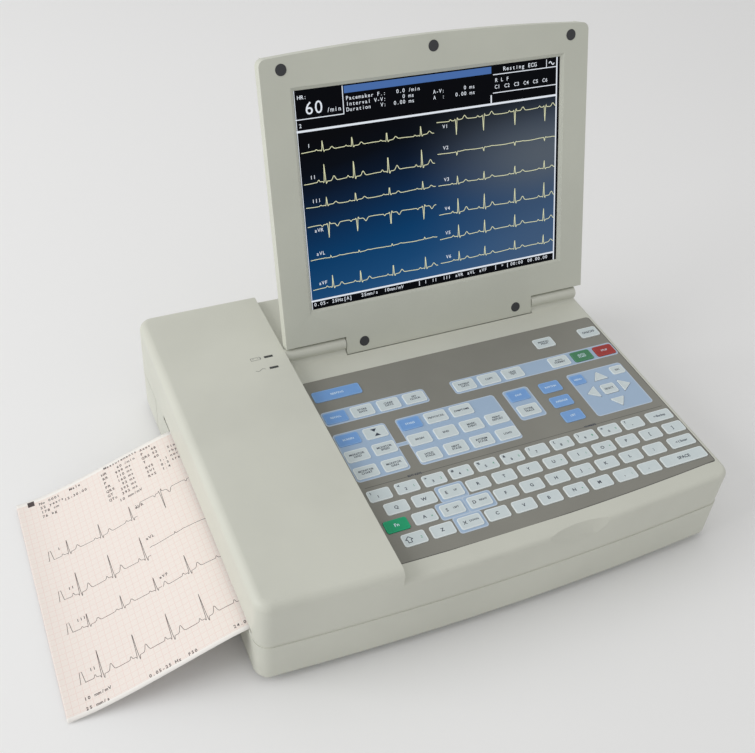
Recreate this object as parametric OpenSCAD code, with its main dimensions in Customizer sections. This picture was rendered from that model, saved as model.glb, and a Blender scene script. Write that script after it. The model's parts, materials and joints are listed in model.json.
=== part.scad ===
// Console electrocardiograph with a flip-up screen and a side paper drawer.
// Millimetres, +Z up, +X to the user's right, +Y to the rear.
// The origin is on the table, under the middle of the console.

/* [Console] */
// Width of the console, left to right
console_w = 400; // [380:1:430]
// Depth of the console, front to rear
console_d = 330; // [315:1:350]
// Height of the table gap under the base, set by the feet
foot_h = 6; // [2:0.5:6]
// Height of the seam between the two housings
part_z = 43.5; // [42:0.5:48]
// Height of the keyboard plane above the table at mid depth
key_z = 80.2; // [76:0.2:90]
// Slope of the keyboard plane, rising to the rear
slope = 1.2; // [0:0.1:4]
// Width of the raised printer section on the left
print_w = 106; // [104:1:110]
// Height of the printer section above the keyboard plane
print_rise = 12.5; // [10:0.5:16]
// Height of the rear deck above the keyboard plane
deck_rise = 4; // [2:0.5:6]
// Rise of the bowed front at its middle, before its corners
front_bow = 6.5; // [4:0.5:8]
// Wall thickness of both housings
wall = 3; // [2:0.1:4]
// Radius of the upright corners
corner_r = 12; // [8:0.5:16]
// Radius of the printer section's top edges
top_r = 7; // [4:0.5:9]
// Radius of the keyboard section's top edges
rim_r = 4; // [2:0.5:6]
// Radius of the bottom edges
base_r = 3; // [1:0.5:5]

/* [Lid] */
// Backward tilt of the open screen from upright
lid_tilt = 17.5; // [0:0.5:30]
// Height of the lid's frame above the screen, at its sides
lid_top = 25.5; // [23:0.5:30]
// Rise of the arched top edge at its middle
lid_crown = 5.5; // [2:0.5:10]
// Thickness of the whole lid
lid_t = 15; // [14.5:0.5:18]
// Depth of the front half of the lid
bezel_t = 6; // [5.5:0.5:7]
// Thickness of the lid's front face
face_t = 2.5; // [2:0.1:3]
// Thickness of the lid's rear face and side walls
lid_wall = 2; // [1.5:0.1:3]
// Radius of the lid's upper corners
lid_r = 6; // [3:0.5:12]
// Visible width of the screen
lcd_w = 241.5; // [220:0.5:245]
// Visible height of the screen
lcd_h = 181; // [160:0.5:184]
// Height of the screen's lower edge above the lid's lower edge
lcd_v = 30; // [30:0.5:34]
// Width of the tongue that carries the hinge
tongue_w = 185.5; // [170:0.5:200]
// Length of the tongue below the lid's lower edge
tongue_h = 16.6; // [15:0.1:18]
// Thickness of the tongue
tongue_t = 10.2; // [10:0.1:10.6]
// Distance of the hinge axis from the rear of the console
hinge_back = 81.8; // [78:0.2:90]
// Hinge axis below the lid's lower edge
hinge_h = 7; // [6.6:0.1:8]
// Hinge axis behind the lid's front face
hinge_in = 5.1; // [5:0.05:5.3]
// Radius of the hinge pins
pin_r = 2; // [1.5:0.1:2.2]
// Gap between the closed lid and the keyboard plane
closed_gap = 1.65; // [1.2:0.05:2]
// Diameter of the round plugs over the lid's screws
plug_d = 9; // [8:0.5:10]

/* [Keyboard] */
// Pitch of the letter keys along a row
key_pitch = 23.2; // [22.8:0.1:23.4]
// Pitch of the letter key rows
row_pitch = 15.7; // [14:0.1:16]
// Width of a letter key
key_w = 19; // [16:0.5:20]
// Depth of a letter key
key_d = 11.5; // [9:0.5:13]
// Pitch of the function keys along a row
fn_pitch = 23.7; // [23:0.1:24]
// Pitch of the function key rows
fn_row = 18.4; // [17:0.1:19]
// Depth of a function key
fn_d = 12.5; // [10:0.5:14]
// Height of the keys above the keyboard sheet
key_h = 0.7; // [0.4:0.1:0.9]
// Travel of the pressed keys
key_travel = 0.4; // [0.2:0.05:0.45]
// Thickness of the keyboard sheet
sheet_t = 0.6; // [0.4:0.1:0.7]

/* [Recorder] */
// Width of the recorder paper
paper_w = 210; // [200:1:212]
// Fold length of the paper pack
pack_l = 140; // [120:1:142]
// Height of the paper pack
pack_h = 14; // [5:1:22]
// Depth of the tray's well
well_h = 24; // [23:0.5:25]
// Gap beside the paper in its tray
paper_gap = 2; // [1:0.5:3]
// Reach of the printed strip beyond the left side
paper_out = 130; // [60:5:200]
// Radius of the rubber platen
platen_r = 8; // [7:0.1:8.2]
// Radius of the platen's shaft
shaft_r = 3; // [2:0.1:3.5]
// Module of the drive gears
gear_m = 1; // [0.95:0.01:1]
// Teeth of the platen's gear
platen_teeth = 18; // [16:1:18]
// Teeth of the idler gear
idler_teeth = 30; // [24:1:30]
// Teeth of the motor pinion
pinion_teeth = 15; // [14:1:15]
// Face width of the gears
gear_w = 6; // [4:0.5:6.5]
// Radius of the drive motor
motor_r = 15; // [12:0.5:16]

/* [Fits] */
// Radial clearance of a turning shaft in its bore
run_fit = 0.05; // [0.02:0.01:0.08]
// Side clearance of a sliding or pressed piece
slide_fit = 0.25; // [0.15:0.05:0.4]
// Clearance of a screw in its hole
screw_fit = 0.2; // [0.1:0.05:0.3]

/* [Hidden] */
$fn = 48;

// Colours of the mouldings, the keyboard and the works
c_body = "#c5c6bc";
c_sheet = "#85847d";
c_key = "#d2dcdc";
c_blue = "#78a5dc";
c_dark = "#3c3d40";
c_board = "#2f6b45";
c_steel = "#a9adb0";
c_paper = "#f3e6e2";

// Console plan
hw = console_w / 2;
hd = console_d / 2;
wall_x = -hw + print_w;
base_z = foot_h + wall;
// Bow of the front between its corners: its radius and middle, and its ends
front_y = -hd + front_bow;
bow_half = hw - corner_r - 2;
bow_r = (bow_half * bow_half + front_bow * front_bow) / (2 * front_bow);
bow_y = -hd + bow_r;
bow_end = bow_half + 1.5;
bow_turn = 4.5;
bow_fn = 2400;
function bow_at(x, r) = bow_y - sqrt(r * r - x * x);
eps = 0.02;
far = 60;
// Depth of the console's shell below the keyboard plane, past the seam
skirt = key_z - part_z + far / 2;

// Keyboard sheet, in the keyboard plane: x to the right, s up the slope
sheet_drop = 0.2;
pocket = sheet_t + sheet_drop;
floor_n = -pocket - wall;
sheet_x0 = wall_x + 4;
sheet_x1 = hw - 4.5;
sheet_s0 = -hd + 20;
sheet_s1 = sheet_s0 + 197;
sheet_in = 16;
sheet_corner = 3;
key_s = sheet_s0 + 15.4;
key_x = sheet_x0 + 12.6;
stagger = 0.31;
label_w = 42.5;
fn_s = key_s + 4 * row_pitch + 9.2;
side_x = key_x + 118.6;
nav_x = key_x + 236.8;
nav_pitch = 20.5;
nav_w = 13;
row_gap = 26.5;
fn_w = key_w + 0.5;
stem = [7, 5];
arrow_stem = [3.4, 4];
board_t = 1.6;
board_drop = 3;
board_n = floor_n - board_drop;
dome_h = 0.55;
dome_r = 3.5;
stem_n = board_n + dome_h + key_travel + 0.05;

// Hinge, in the keyboard plane's frame and in the table's
hinge_s = hd - hinge_back;
hinge_n = closed_gap + hinge_in;
hinge_y = hinge_s * cos(slope) - hinge_n * sin(slope);
hinge_z = key_z + hinge_s * sin(slope) + hinge_n * cos(slope);

// Lid plan: x to the right, v up the lid from its lower edge
lid_gap = 1.5;
lid_over = 2;
lid_h = lcd_v + lcd_h + lid_top;
lid_x0 = wall_x + lid_gap;
lid_x1 = hw + lid_over;
lid_xc = (lid_x0 + lid_x1) / 2;
lid_half = (lid_x1 - lid_x0) / 2;
arch_r = (lid_half * lid_half + lid_crown * lid_crown) / (2 * lid_crown);
arch_v = lid_h + lid_crown - arch_r;
arch_fn = 2400;
tongue_half = tongue_w / 2;
chamfer = 5;
well_in = chamfer + 0.2;
lcd_flare = 3;
screen_t = 0.8;
lcd_t = 7;
lcd_edge = 7.5;
plug_r = plug_d / 2;
plug_t = 1.2;
plug_top = lid_h - 8.5;
plug_low = -hinge_h - 0.5;
plug_side = lid_half - 17.5;
plug_in = tongue_half - 16.7;
screw_r = 1.5;
leaf_w = 8;
leaf_r = tongue_t / 2 - 1.8;
leaf_t = 1.2;
ear_gap = 0.7;
ear_r = print_rise - hinge_n;
ear_front = 3.7;
ear_round = 3;
ear_fillet = 5;
tongue_reach = sqrt(pow(tongue_h - hinge_h, 2) + pow(max(hinge_in, tongue_t - hinge_in), 2));
trough_r = tongue_reach + 0.7;
pin_l = 30;

// Recorder: the drawer leaves through the left side, along -X
drawer_y0 = front_y + 12.5;
drawer_y1 = hd - 50;
panel_gap = 0.3;
panel_t = wall;
tray_wall = 3;
tray_floor = 2;
paper_y0 = -hd + 27;
paper_y1 = paper_y0 + paper_w;
tray_y0 = paper_y0 - paper_gap - tray_wall;
tray_y1 = paper_y1 + paper_gap + tray_wall;
tray_x1 = -hw + 180;
rail_t = 1;
rail_side = 2;
rail_x0 = -hw + 16;
tray_z = base_z + rail_t + 0.1;
pack_z = tray_z + tray_floor;
pack_x1 = tray_x1 - 6;
platen_x = -hw + 19;
platen_z = part_z - platen_r + 0.5;
sheet_lift = 0.15;
paper_t = 0.15;
head_gap = 0.3;
slot_h = 5.5;
gear_y = tray_y1 + 3;
mesh_d = gear_m * (platen_teeth + idler_teeth) / 2;
idler_x = platen_x + mesh_d;
pinion_turn = -20;
pinion_d = gear_m * (idler_teeth + pinion_teeth) / 2;
pinion_x = idler_x + pinion_d * cos(pinion_turn);
pinion_z = platen_z + pinion_d * sin(pinion_turn);
plate_y = gear_y + gear_w + 2;
plate_t = 2;
stub_r = 2;
motor_l = 32;
motor_shaft_r = 1.5;
tooth_thin = 0.15;
head_w = 17;
head_h = 14;
head_z = platen_z + platen_r + sheet_lift + paper_t + head_gap;
strip_t = 1.5;
pivot_x = platen_x + 16;
pivot_z = head_z + strip_t + 8;
pivot_r = 2;
bracket_t = 2;
bracket_z = head_z + strip_t + head_h + 5;
spring_r = 3;

// Fastenings and works inside the base
boss_in = 9.5;
boss_r = 6;
boss_back = front_bow - 2;
foot_r = 9;
foot_in = 35;
head_r = 3.2;
head_t = 2.4;
seat_z = part_z - 10;
screw_l = 22;
post_r = 3;
post_h = 8;
batt = [140, 66, 32];
batt_x = hw - 160;
batt_y = hd - 103;
batt_ledge = 1.5;
batt_lip = 4;
inlet_x = hw - 60;
inlet_z = base_z + 19;
inlet = [27.4, 19.8, 24];
fuse = [11, 18, 22];
flange = [56, 26, 2];
pin_x = inlet_x - 45;
data_x = pin_x - 45;
eq_r = 3;
eq_l = 12;
dsub_gap = 33.3;
nut_r = 1.2;
socket_y = hd - 125;
socket_z = base_z + 19;

// Puts its children in the keyboard plane's frame
module on_keys() {
    translate([0, 0, key_z]) rotate([slope, 0, 0]) children();
}

// Puts its children in the lid's frame: front face at z 0, lower edge at y 0
module on_lid() {
    translate([0, hinge_y, hinge_z]) rotate([90 - lid_tilt, 0, 0])
        translate([0, hinge_h, hinge_in]) children();
}

// Turns an outline in X and Z into a bar along +Y
module along_y(y0, len) {
    translate([0, y0 + len, 0]) rotate([90, 0, 0]) linear_extrude(len) children();
}

// Turns an outline in Y and Z into a bar along +X
module along_x(x0, len) {
    translate([x0, 0, 0]) rotate([90, 0, 90]) linear_extrude(len) children();
}

// Round bar along +Y
module bar_y(x, y, z, r, len) {
    translate([x, y, z]) rotate([-90, 0, 0]) cylinder(r = r, h = len);
}

// Round bar along +X
module bar_x(x, y, z, r, len) {
    translate([x, y, z]) rotate([0, 90, 0]) cylinder(r = r, h = len);
}

// Box between two corners
module block(a, b) {
    translate(a) cube(b - a);
}

// Rectangle with round corners between two corners
module rrect(x0, x1, y0, y1, r) {
    translate([x0 + r, y0]) square([x1 - x0 - 2 * r, y1 - y0]);
    translate([x0, y0 + r]) square([x1 - x0, y1 - y0 - 2 * r]);
    for (x = [x0 + r, x1 - r], y = [y0 + r, y1 - r]) translate([x, y]) circle(r);
}

// Upright outline from x0 to x1 whose top corners have the radii r0 and r1
module crowned(x0, x1, h, r0, r1) {
    translate([x0, 0]) square([x1 - x0, h - max(r0, r1)]);
    translate([x0 + r0, 0]) square([x1 - x0 - r0 - r1, h]);
    if (r0 > 0) translate([x0 + r0, h - r0]) circle(r0);
    if (r1 > 0) translate([x1 - r1, h - r1]) circle(r1);
}

// Block with a flat end at x 0 and a rounded end at x len: upright corners of
// radius rv, top edges of radius rt
module edge_block(len, y0, y1, h, rv, rt) {
    along_x(0, len - rv) crowned(y0, y1, h, rt, rt);
    translate([len - rv, 0, 0]) along_y(y0 + rv, y1 - y0 - 2 * rv) crowned(0, rv, h, 0, rt);
    translate([len - rv, y0 + rv, 0]) rotate([0, 0, -90]) rim(90, 0, h, rv, rt);
    translate([len - rv, y1 - rv, 0]) rim(90, 0, h, rv, rt);
}

// Bow of the front from x0 to x1, as high as h, with a top edge of radius rt
module bow(x0, x1, h, rt) {
    deep = front_bow + corner_r;
    intersection() {
        translate([0, bow_y, 0]) rotate([0, 0, -90 - bow_turn]) rim(2 * bow_turn, bow_r - deep, h, deep, rt);
        block([x0, -hd - 1, -1], [x1, front_y + corner_r, h + 1]);
    }
}

// Outline of the console, moved in by in
module plan(in) {
    rrect(-hw + in, hw - in, front_y + in, hd - in, corner_r - in);
    intersection() {
        translate([0, bow_y]) circle(bow_r - in, $fn = bow_fn);
        translate([-bow_end, -hd]) square([2 * bow_end, front_bow + corner_r]);
    }
}

// Outline of the keyboard sheet, moved in by in, with the front's bow
module sheet_outline(in) {
    rrect(sheet_x0 + in, sheet_x1 - in, front_y + sheet_in + in, sheet_s1 - in, sheet_corner);
    intersection() {
        rrect(sheet_x0 + in, sheet_x1 - sheet_corner - in, -hd + sheet_in + 0.5 + in, sheet_s1 - in, sheet_corner);
        translate([0, bow_y]) circle(bow_r - sheet_in - in, $fn = bow_fn);
    }
}

// Upright wall of width r turned round the Z axis, with its top outer edge rounded by rt
module rim(turn, r0, h, r, rt) {
    rotate_extrude(angle = turn, $fn = r0 > 0 ? bow_fn : $fn) translate([r0, 0]) intersection() {
        crowned(0, r, h, 0, rt);
        square([r, h]);
    }
}

// Four places set in from the console's corners, the front ones set back further
module at_corners(inset, back = 0) {
    for (x = [-1, 1], y = [-1, 1])
        translate([x * (hw - inset), y * (hd - inset) + (y < 0 ? back : 0), 0]) children();
}

// Height of the printer section's top skin, at its mid thickness
function skin_z(y) = key_z + (print_rise - wall / 2) / cos(slope) + y * tan(slope);

// Places of the keys, each [x, s] in the keyboard plane
function letter_at(row, i) = [key_x + key_pitch * (i + (row % 2 == 0 ? stagger : 0)), key_s + row_pitch * row];
function fn_at(x0, row, i) = [x0 + fn_pitch * i, fn_s + fn_row * row];
function top_at(i) = [side_x + fn_pitch * i, fn_s + 2 * fn_row + row_gap];
function upper_at(i) = top_at(i) + [0, row_gap];
function nav_at(i, row) = [nav_x + nav_pitch * i, fn_s + fn_row * row];

mid_x = key_x + 2.3 * fn_pitch;
power_at = upper_at(6);
manual_at = upper_at(4);
start_at = top_at(5);
stop_at = top_at(6);
select_at = nav_at(0, 1);
last_x = key_x + 258.7;
enter_at = [last_x, key_s + row_pitch];
space_at = [last_x - 9, key_s];
wide_w = 24;
space_w = 42;
function_places = concat(
    [for (i = [1:3]) [key_x + fn_pitch * i, top_at(0)[1]]],
    [for (row = [0, 1], i = [0, 1]) fn_at(key_x, row, i)], [fn_at(key_x, 2, 1)],
    [for (row = [0, 1], i = [0:3]) fn_at(mid_x, row, i)], [for (i = [1, 2]) fn_at(mid_x, 2, i)],
    [for (i = [0, 1, 2, 4]) top_at(i)], [fn_at(mid_x + 4.3 * fn_pitch, 1, 0)]);
label_places = concat(
    [[key_x, top_at(0)[1]], fn_at(key_x, 2, 0), fn_at(mid_x, 2, 0), fn_at(mid_x + 4.3 * fn_pitch, 2, 0)],
    [for (row = [0:2]) fn_at(mid_x + 5.65 * fn_pitch, row, 0)]);
letter_places = concat(
    [for (i = [0:9]) letter_at(0, i)], [for (i = [1:10]) letter_at(1, i)],
    [for (i = [0:11]) letter_at(2, i)], [for (i = [0:10]) letter_at(3, i)]);
fn_key_at = letter_at(1, 0);
// Pressed keys: place, width and depth
pressed = [[power_at, fn_w, fn_d], [manual_at, fn_w, fn_d], [start_at, fn_w, fn_d], [stop_at, fn_w, fn_d],
           [fn_key_at, key_w, key_d], [enter_at, wide_w, key_d], [space_at, space_w, key_d]];
arrow_w = 14;
arrow_d = 10;
arrow_off = 17;
arrows = [0, 90, 180, 270];
function arrow_at(turn) = select_at + arrow_off * [sin(-turn), cos(-turn)];

module key_shape(w, d) {
    rrect(-w / 2, w / 2, -d / 2, d / 2, 2);
}

module arrow_shape(grow = 0) {
    polygon([[-arrow_w / 2 - 2 * grow, -arrow_d / 2 - grow], [arrow_w / 2 + 2 * grow, -arrow_d / 2 - grow],
             [0, arrow_d / 2 + 1.7 * grow]]);
}

// A key printed on the sheet, standing on its upper face
module fixed_key(at, w, d) {
    on_keys() translate([at[0], at[1], -sheet_drop]) linear_extrude(key_h) key_shape(w, d);
}

// Stem of a pressed key, down to its dome
module key_stem(size) {
    translate([0, 0, stem_n]) linear_extrude(-stem_n) square(size, center = true);
}

// Pad of a pressed key, clear of the housing when it is down
module key_pad() {
    low = -pocket + key_travel + 0.1;
    translate([0, 0, low]) linear_extrude(key_h - sheet_drop - low) children();
}

// A pressed key: its pad in the sheet's opening and its stem
module pressed_key(at, w, d) {
    on_keys() translate([at[0], at[1], 0]) {
        key_pad() key_shape(w, d);
        key_stem(stem);
    }
}

module arrow_key(turn) {
    at = arrow_at(turn);
    on_keys() translate([at[0], at[1], 0]) rotate([0, 0, turn]) {
        key_pad() arrow_shape();
        key_stem(arrow_stem);
    }
}

// Openings that pass the pressed keys, with their stems where stems is true
module key_openings(z0, h, stems) {
    grow = 2 * slide_fit * [1, 1];
    on_keys() translate([0, 0, z0]) linear_extrude(h) {
        for (k = concat(pressed, [[select_at, arrow_w, fn_d - 1]])) translate(k[0])
            if (stems) square(stem + grow, center = true);
            else key_shape(k[1] + grow[0], k[2] + grow[1]);
        for (turn = arrows) translate(arrow_at(turn)) rotate([0, 0, turn])
            if (stems) square(arrow_stem + grow, center = true);
            else arrow_shape(slide_fit);
    }
}

// Solid outside of the upper housing, in the keyboard plane's frame
module upper_form() {
    translate([0, 0, -skirt]) {
        translate([wall_x, 0, 0]) mirror([1, 0, 0]) edge_block(print_w, front_y, hd, skirt + print_rise, corner_r, top_r);
        bow(-bow_end, wall_x, skirt + print_rise, top_r);
        translate([wall_x, 0, 0]) edge_block(console_w - print_w, front_y, hd, skirt, corner_r, rim_r);
        bow(wall_x, bow_end, skirt, rim_r);
    }
    intersection() {
        translate([wall_x, 0, -skirt]) edge_block(console_w - print_w, front_y, hd, skirt + deck_rise, corner_r, rim_r);
        block([wall_x, hinge_s, -skirt], [hw + 1, hd + 1, deck_rise + 1]);
    }
    ears();
}

// Hinge ears on both sides of the tongue, with a hollow fillet at their foot
module ears() {
    for (span = [[wall_x, lid_xc - tongue_half - ear_gap], [lid_xc + tongue_half + ear_gap, hw - rim_r]])
        along_x(span[0], span[1] - span[0]) {
            translate([hinge_s - ear_front, -1]) square([ear_front, print_rise - ear_round + 1]);
            translate([hinge_s - ear_front + ear_round, -1]) square([ear_front - ear_round, print_rise + 1]);
            translate([hinge_s - ear_front + ear_round, print_rise - ear_round]) circle(ear_round);
            translate([hinge_s, hinge_n]) circle(ear_r);
            translate([hinge_s, -1]) square([ear_r, hinge_n + 1]);
            translate([hinge_s - ear_front - ear_fillet, -1]) difference() {
                square([ear_fillet + eps, ear_fillet + 1]);
                translate([0, ear_fillet + 1]) circle(ear_fillet);
            }
        }
}

// Hollow inside of the upper housing, in the keyboard plane's frame
module upper_hollow() {
    r = corner_r - wall;
    difference() {
        union() {
            translate([0, 0, -skirt - 1]) linear_extrude(skirt + 1 + floor_n) plan(wall);
            translate([0, 0, floor_n - 1]) linear_extrude(print_rise - wall - floor_n + 1) intersection() {
                plan(wall);
                translate([-hw, -hd]) square([print_w - wall, console_d]);
            }
            translate([0, 0, floor_n - 1]) linear_extrude(deck_rise - wall - floor_n + 1)
                rrect(wall_x + wall, hw - wall, hinge_s + trough_r + wall, hd - wall, r);
        }
        bar_x(wall_x, hinge_s, hinge_n, trough_r + wall, hw - wall_x);
        block([lid_xc - finger[0] / 2 - wall, -hd, -finger[2] - wall], [lid_xc + finger[0] / 2 + wall, -hd + finger[1] + 2 * wall, 0]);
        for (x = [sheet_x0 + 20, sheet_x1 - 20], s = [sheet_s0 + 8, (sheet_s0 + sheet_s1) / 2, sheet_s1 - 8])
            translate([x, s, board_n]) cylinder(r = post_r, h = board_drop + 1);
    }
}

// Cut through the left wall over the drawer, for the paper and the gear
module paper_slot() {
    block([-hw - 1, tray_y0 - 1, part_z - 1], [-hw + wall + 1, plate_y - 0.5, part_z + slot_h]);
}

window = [7.5, 2.4];
window_at = [[wall_x - 15, hinge_s - 2.5], [wall_x - 15, hinge_s - 16.8]];
// Scoop for the fingertips: its width, depth and height, and the radius that gives them
finger = [64, 5.5, 16];
finger_r = (finger[0] * finger[0] / 4 + finger[1] * finger[1]) / (2 * finger[1]);

module upper_housing() color(c_body) difference() {
    union() {
        difference() {
            intersection() {
                on_keys() upper_form();
                block([-hw - 9, -hd - 9, part_z], [hw + 9, hd + 9, key_z + far]);
            }
            on_keys() upper_hollow();
        }
        intersection() {
            block([-hw + 1, -hd + 1, part_z], [hw - 1, hd - 1, part_z + 24]);
            at_corners(boss_in, boss_back) translate([0, 0, part_z]) cylinder(r = boss_r, h = 24);
        }
        for (y = [tray_y0 + 40, tray_y1 - 40]) translate([pivot_x - 8, y, bracket_z + bracket_t])
            cylinder(r = post_r + 1, h = skin_z(y) - bracket_z - bracket_t);
    }
    // bed of the keyboard sheet and the stems' holes
    on_keys() translate([0, 0, -pocket]) linear_extrude(far)
        sheet_outline(0);
    key_openings(floor_n - 1, wall + 2, true);
    // trough that clears the tongue, and the ears' bores
    on_keys() {
        bar_x(lid_xc - tongue_half - ear_gap, hinge_s, hinge_n, trough_r, tongue_w + 2 * ear_gap);
        bar_x(lid_xc - tongue_half - pin_l, hinge_s, hinge_n, pin_r + run_fit / 2, tongue_w + 2 * pin_l);
    }
    // finger scoop in the front edge, under the lid's upper edge
    on_keys() translate([lid_xc, bow_at(lid_xc, bow_r) + finger[1], 0]) rotate([-atan(finger[1] / finger[2]), 0, 0])
        translate([0, -finger_r, -finger[2] - 10]) cylinder(r = finger_r, h = finger[2] + 20, $fn = 720);
    paper_slot();
    for (w = window_at) on_keys() translate([w[0], w[1], 0])
        linear_extrude(far) square(window + [0.1, 0.1], center = true);
    at_corners(boss_in, boss_back) translate([0, 0, part_z - 1]) cylinder(r = screw_r + 0.05, h = screw_l);
}

seam_h = 0.8;
seam_in = 0.6;

module lower_form(h) {
    for (side = [0, 1]) mirror([side, 0, 0]) edge_block(hw, front_y, hd, h, corner_r, base_r);
    bow(-bow_end, bow_end, h, base_r);
}

module lower_housing() color(c_body) difference() {
    union() {
        difference() {
            union() {
                translate([0, 0, part_z - seam_h]) mirror([0, 0, 1]) lower_form(part_z - seam_h - foot_h);
                translate([0, 0, part_z - seam_h - 1]) linear_extrude(seam_h + 1) plan(seam_in);
            }
            translate([0, 0, base_z]) linear_extrude(part_z) plan(wall);
        }
        intersection() {
            block([-hw + 1, -hd + 1, foot_h], [hw - 1, hd - 1, part_z]);
            at_corners(boss_in, boss_back) translate([0, 0, foot_h]) cylinder(r = boss_r, h = part_z - foot_h);
        }
        for (p = concat(main_posts, power_posts)) translate([p[0], p[1], base_z - 1])
            cylinder(r = post_r, h = post_h + 1);
    }
    // drawer's doorway in the left side
    block([-hw - 1, drawer_y0, base_z], [-hw + wall + 0.2, drawer_y1, part_z + 1]);
    // screw holes and their counterbores
    at_corners(boss_in, boss_back) {
        translate([0, 0, foot_h - 1]) cylinder(r = head_r + screw_fit, h = seat_z - foot_h + 1);
        translate([0, 0, seat_z - 1]) cylinder(r = screw_r + screw_fit, h = part_z);
    }
    // battery bay with the ledge of its cover
    block([batt_x - 1, batt_y - 1, foot_h - 1], [batt_x + batt[0] + 1, batt_y + batt[1] + 1, base_z + 1]);
    block([batt_x - batt_lip, batt_y - batt_lip, foot_h - 1],
          [batt_x + batt[0] + batt_lip, batt_y + batt[1] + batt_lip, foot_h + batt_ledge]);
    // sockets in the rear and right walls
    block([inlet_x - inlet[0] / 2, hd - wall - 1, inlet_z - inlet[1] / 2],
          [inlet_x + inlet[0] / 2 + fuse[0] + 3, hd + 1, inlet_z + inlet[1] / 2]);
    bar_y(pin_x, hd - wall - 1, inlet_z, eq_r + 0.05, wall + 2);
    block([data_x - 10, hd - wall - 1, inlet_z - 5.5], [data_x + 10, hd + 1, inlet_z + 5.5]);
    block([hw - wall - 1, socket_y - 13.5, socket_z - 5.5], [hw + 1, socket_y + 13.5, socket_z + 5.5]);
    for (i = [-3:3]) block([speaker_x - 12, speaker_y + 4 * i - 1, foot_h - 1], [speaker_x + 12, speaker_y + 4 * i + 1, base_z + 1]);
}

module keypad_overlay() color(c_sheet) difference() {
    on_keys() translate([0, 0, -pocket]) linear_extrude(sheet_t)
        sheet_outline(0);
    key_openings(-pocket - 1, 3, false);
}

module function_keys() color(c_key) {
    for (p = function_places) fixed_key(p, fn_w, fn_d);
    fixed_key(nav_at(1, 2), nav_w, fn_d - 2.5);
}

module label_keys() color(c_blue) {
    for (p = label_places) fixed_key(p, fn_w, fn_d);
    fixed_key(nav_at(-1, 2), nav_w, fn_d - 1);
    fixed_key([key_x + label_w / 2 - 9.5, upper_at(0)[1]], label_w, fn_d);
}

module letter_keys() color(c_key) {
    for (p = letter_places) fixed_key(p, key_w, key_d);
    fixed_key([last_x, letter_at(3, 0)[1]], wide_w, key_d);
}

module power_key() color(c_key) pressed_key(power_at, fn_w, fn_d);
module manual_key() color(c_key) pressed_key(manual_at, fn_w, fn_d);
module start_key() color("#468760") pressed_key(start_at, fn_w, fn_d);
module stop_key() color("#a52d28") pressed_key(stop_at, fn_w, fn_d);
module fn_key() color("#0aa069") pressed_key(fn_key_at, key_w, key_d);
module enter_key() color(c_key) pressed_key(enter_at, wide_w, key_d);
module space_key() color(c_key) pressed_key(space_at, space_w, key_d);
module select_key() color(c_key) pressed_key(select_at, arrow_w, fn_d - 1);
module up_key() color(c_key) arrow_key(0);
module left_key() color(c_key) arrow_key(90);
module down_key() color(c_key) arrow_key(180);
module right_key() color(c_key) arrow_key(270);

// Switch board under the keyboard, with a dome for each pressed key
module keypad_board() color(c_board) on_keys() {
    translate([0, 0, board_n - board_t]) linear_extrude(board_t)
        sheet_outline(2);
    for (at = concat([for (k = pressed) k[0]], [select_at], [for (turn = arrows) arrow_at(turn)]))
        translate([at[0], at[1], board_n]) cylinder(r = dome_r, h = dome_h);
}

module status_windows() color(c_dark) for (w = window_at) on_keys()
    translate([w[0], w[1], print_rise - wall]) linear_extrude(wall + 0.2) square(window, center = true);

module rubber_feet() color(c_dark) at_corners(foot_in) cylinder(r = foot_r, h = foot_h);

// Pan-head screws driven up through the base, one in each corner
module housing_screws() color(c_steel) at_corners(boss_in, boss_back) {
    translate([0, 0, seat_z - head_t]) difference() {
        cylinder(r = head_r, h = head_t);
        for (turn = [0, 90]) rotate([0, 0, turn]) translate([0, 0, 0.5])
            cube([2 * head_r - 2, 0.8, 1.2], center = true);
    }
    translate([0, 0, seat_z]) cylinder(r = screw_r, h = part_z - seat_z + screw_l / 2);
}

module battery_pack() color(c_dark) {
    block([batt_x, batt_y, foot_h + batt_ledge], [batt_x + batt[0], batt_y + batt[1], foot_h + batt_ledge + batt[2]]);
    for (x = [12, 24]) translate([batt_x + x, batt_y + 8, foot_h + batt_ledge + batt[2]]) cube([1, 6, 3]);
}

module battery_cover() color(c_body) difference() {
    block([batt_x - batt_lip + slide_fit, batt_y - batt_lip + slide_fit, foot_h],
          [batt_x + batt[0] + batt_lip - slide_fit, batt_y + batt[1] + batt_lip - slide_fit, foot_h + batt_ledge]);
    for (i = [0:4]) block([batt_x + 6, batt_y + batt[1] / 2 - 8 + 4 * i, foot_h - 1],
                          [batt_x + 26, batt_y + batt[1] / 2 - 7 + 4 * i, foot_h + 0.6]);
}

main_board_at = [tray_x1 + 20, -hd + front_bow + 18];
main_size = [hw - 10 - main_board_at[0], batt_y - 12 - main_board_at[1]];
main_posts = [for (x = [6, main_size[0] - 6], y = [6, main_size[1] - 6]) main_board_at + [x, y]];
power_at_board = [tray_x1 + 3, hd - 78];
power_size = [batt_x - batt_lip - power_at_board[0], 62];
power_posts = [for (x = [6, power_size[0] - 6], y = [6, power_size[1] - 6]) power_at_board + [x, y]];

// A circuit board on its posts, with packages given as [x, y, w, d, h]
module board(at, size, packages) {
    translate([at[0], at[1], base_z + post_h]) {
        cube([size[0], size[1], board_t]);
        for (p = packages) translate([p[0], p[1], board_t - eps]) cube([p[2], p[3], p[4]]);
    }
}

module main_board() color(c_board)
    board(main_board_at, main_size, [[30, 40, 28, 28, 3], [80, 50, 20, 14, 2.5], [80, 80, 20, 14, 2.5],
                                     [30, 100, 34, 10, 6], [120, 30, 10, 50, 8], [20, 15, 60, 6, 9]]);

module power_board() color(c_board)
    board(power_at_board, power_size, [[5, 12, 20, 26, 22], [29, 12, 12, 12, 18], [29, 34, 12, 12, 18]]);

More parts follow.
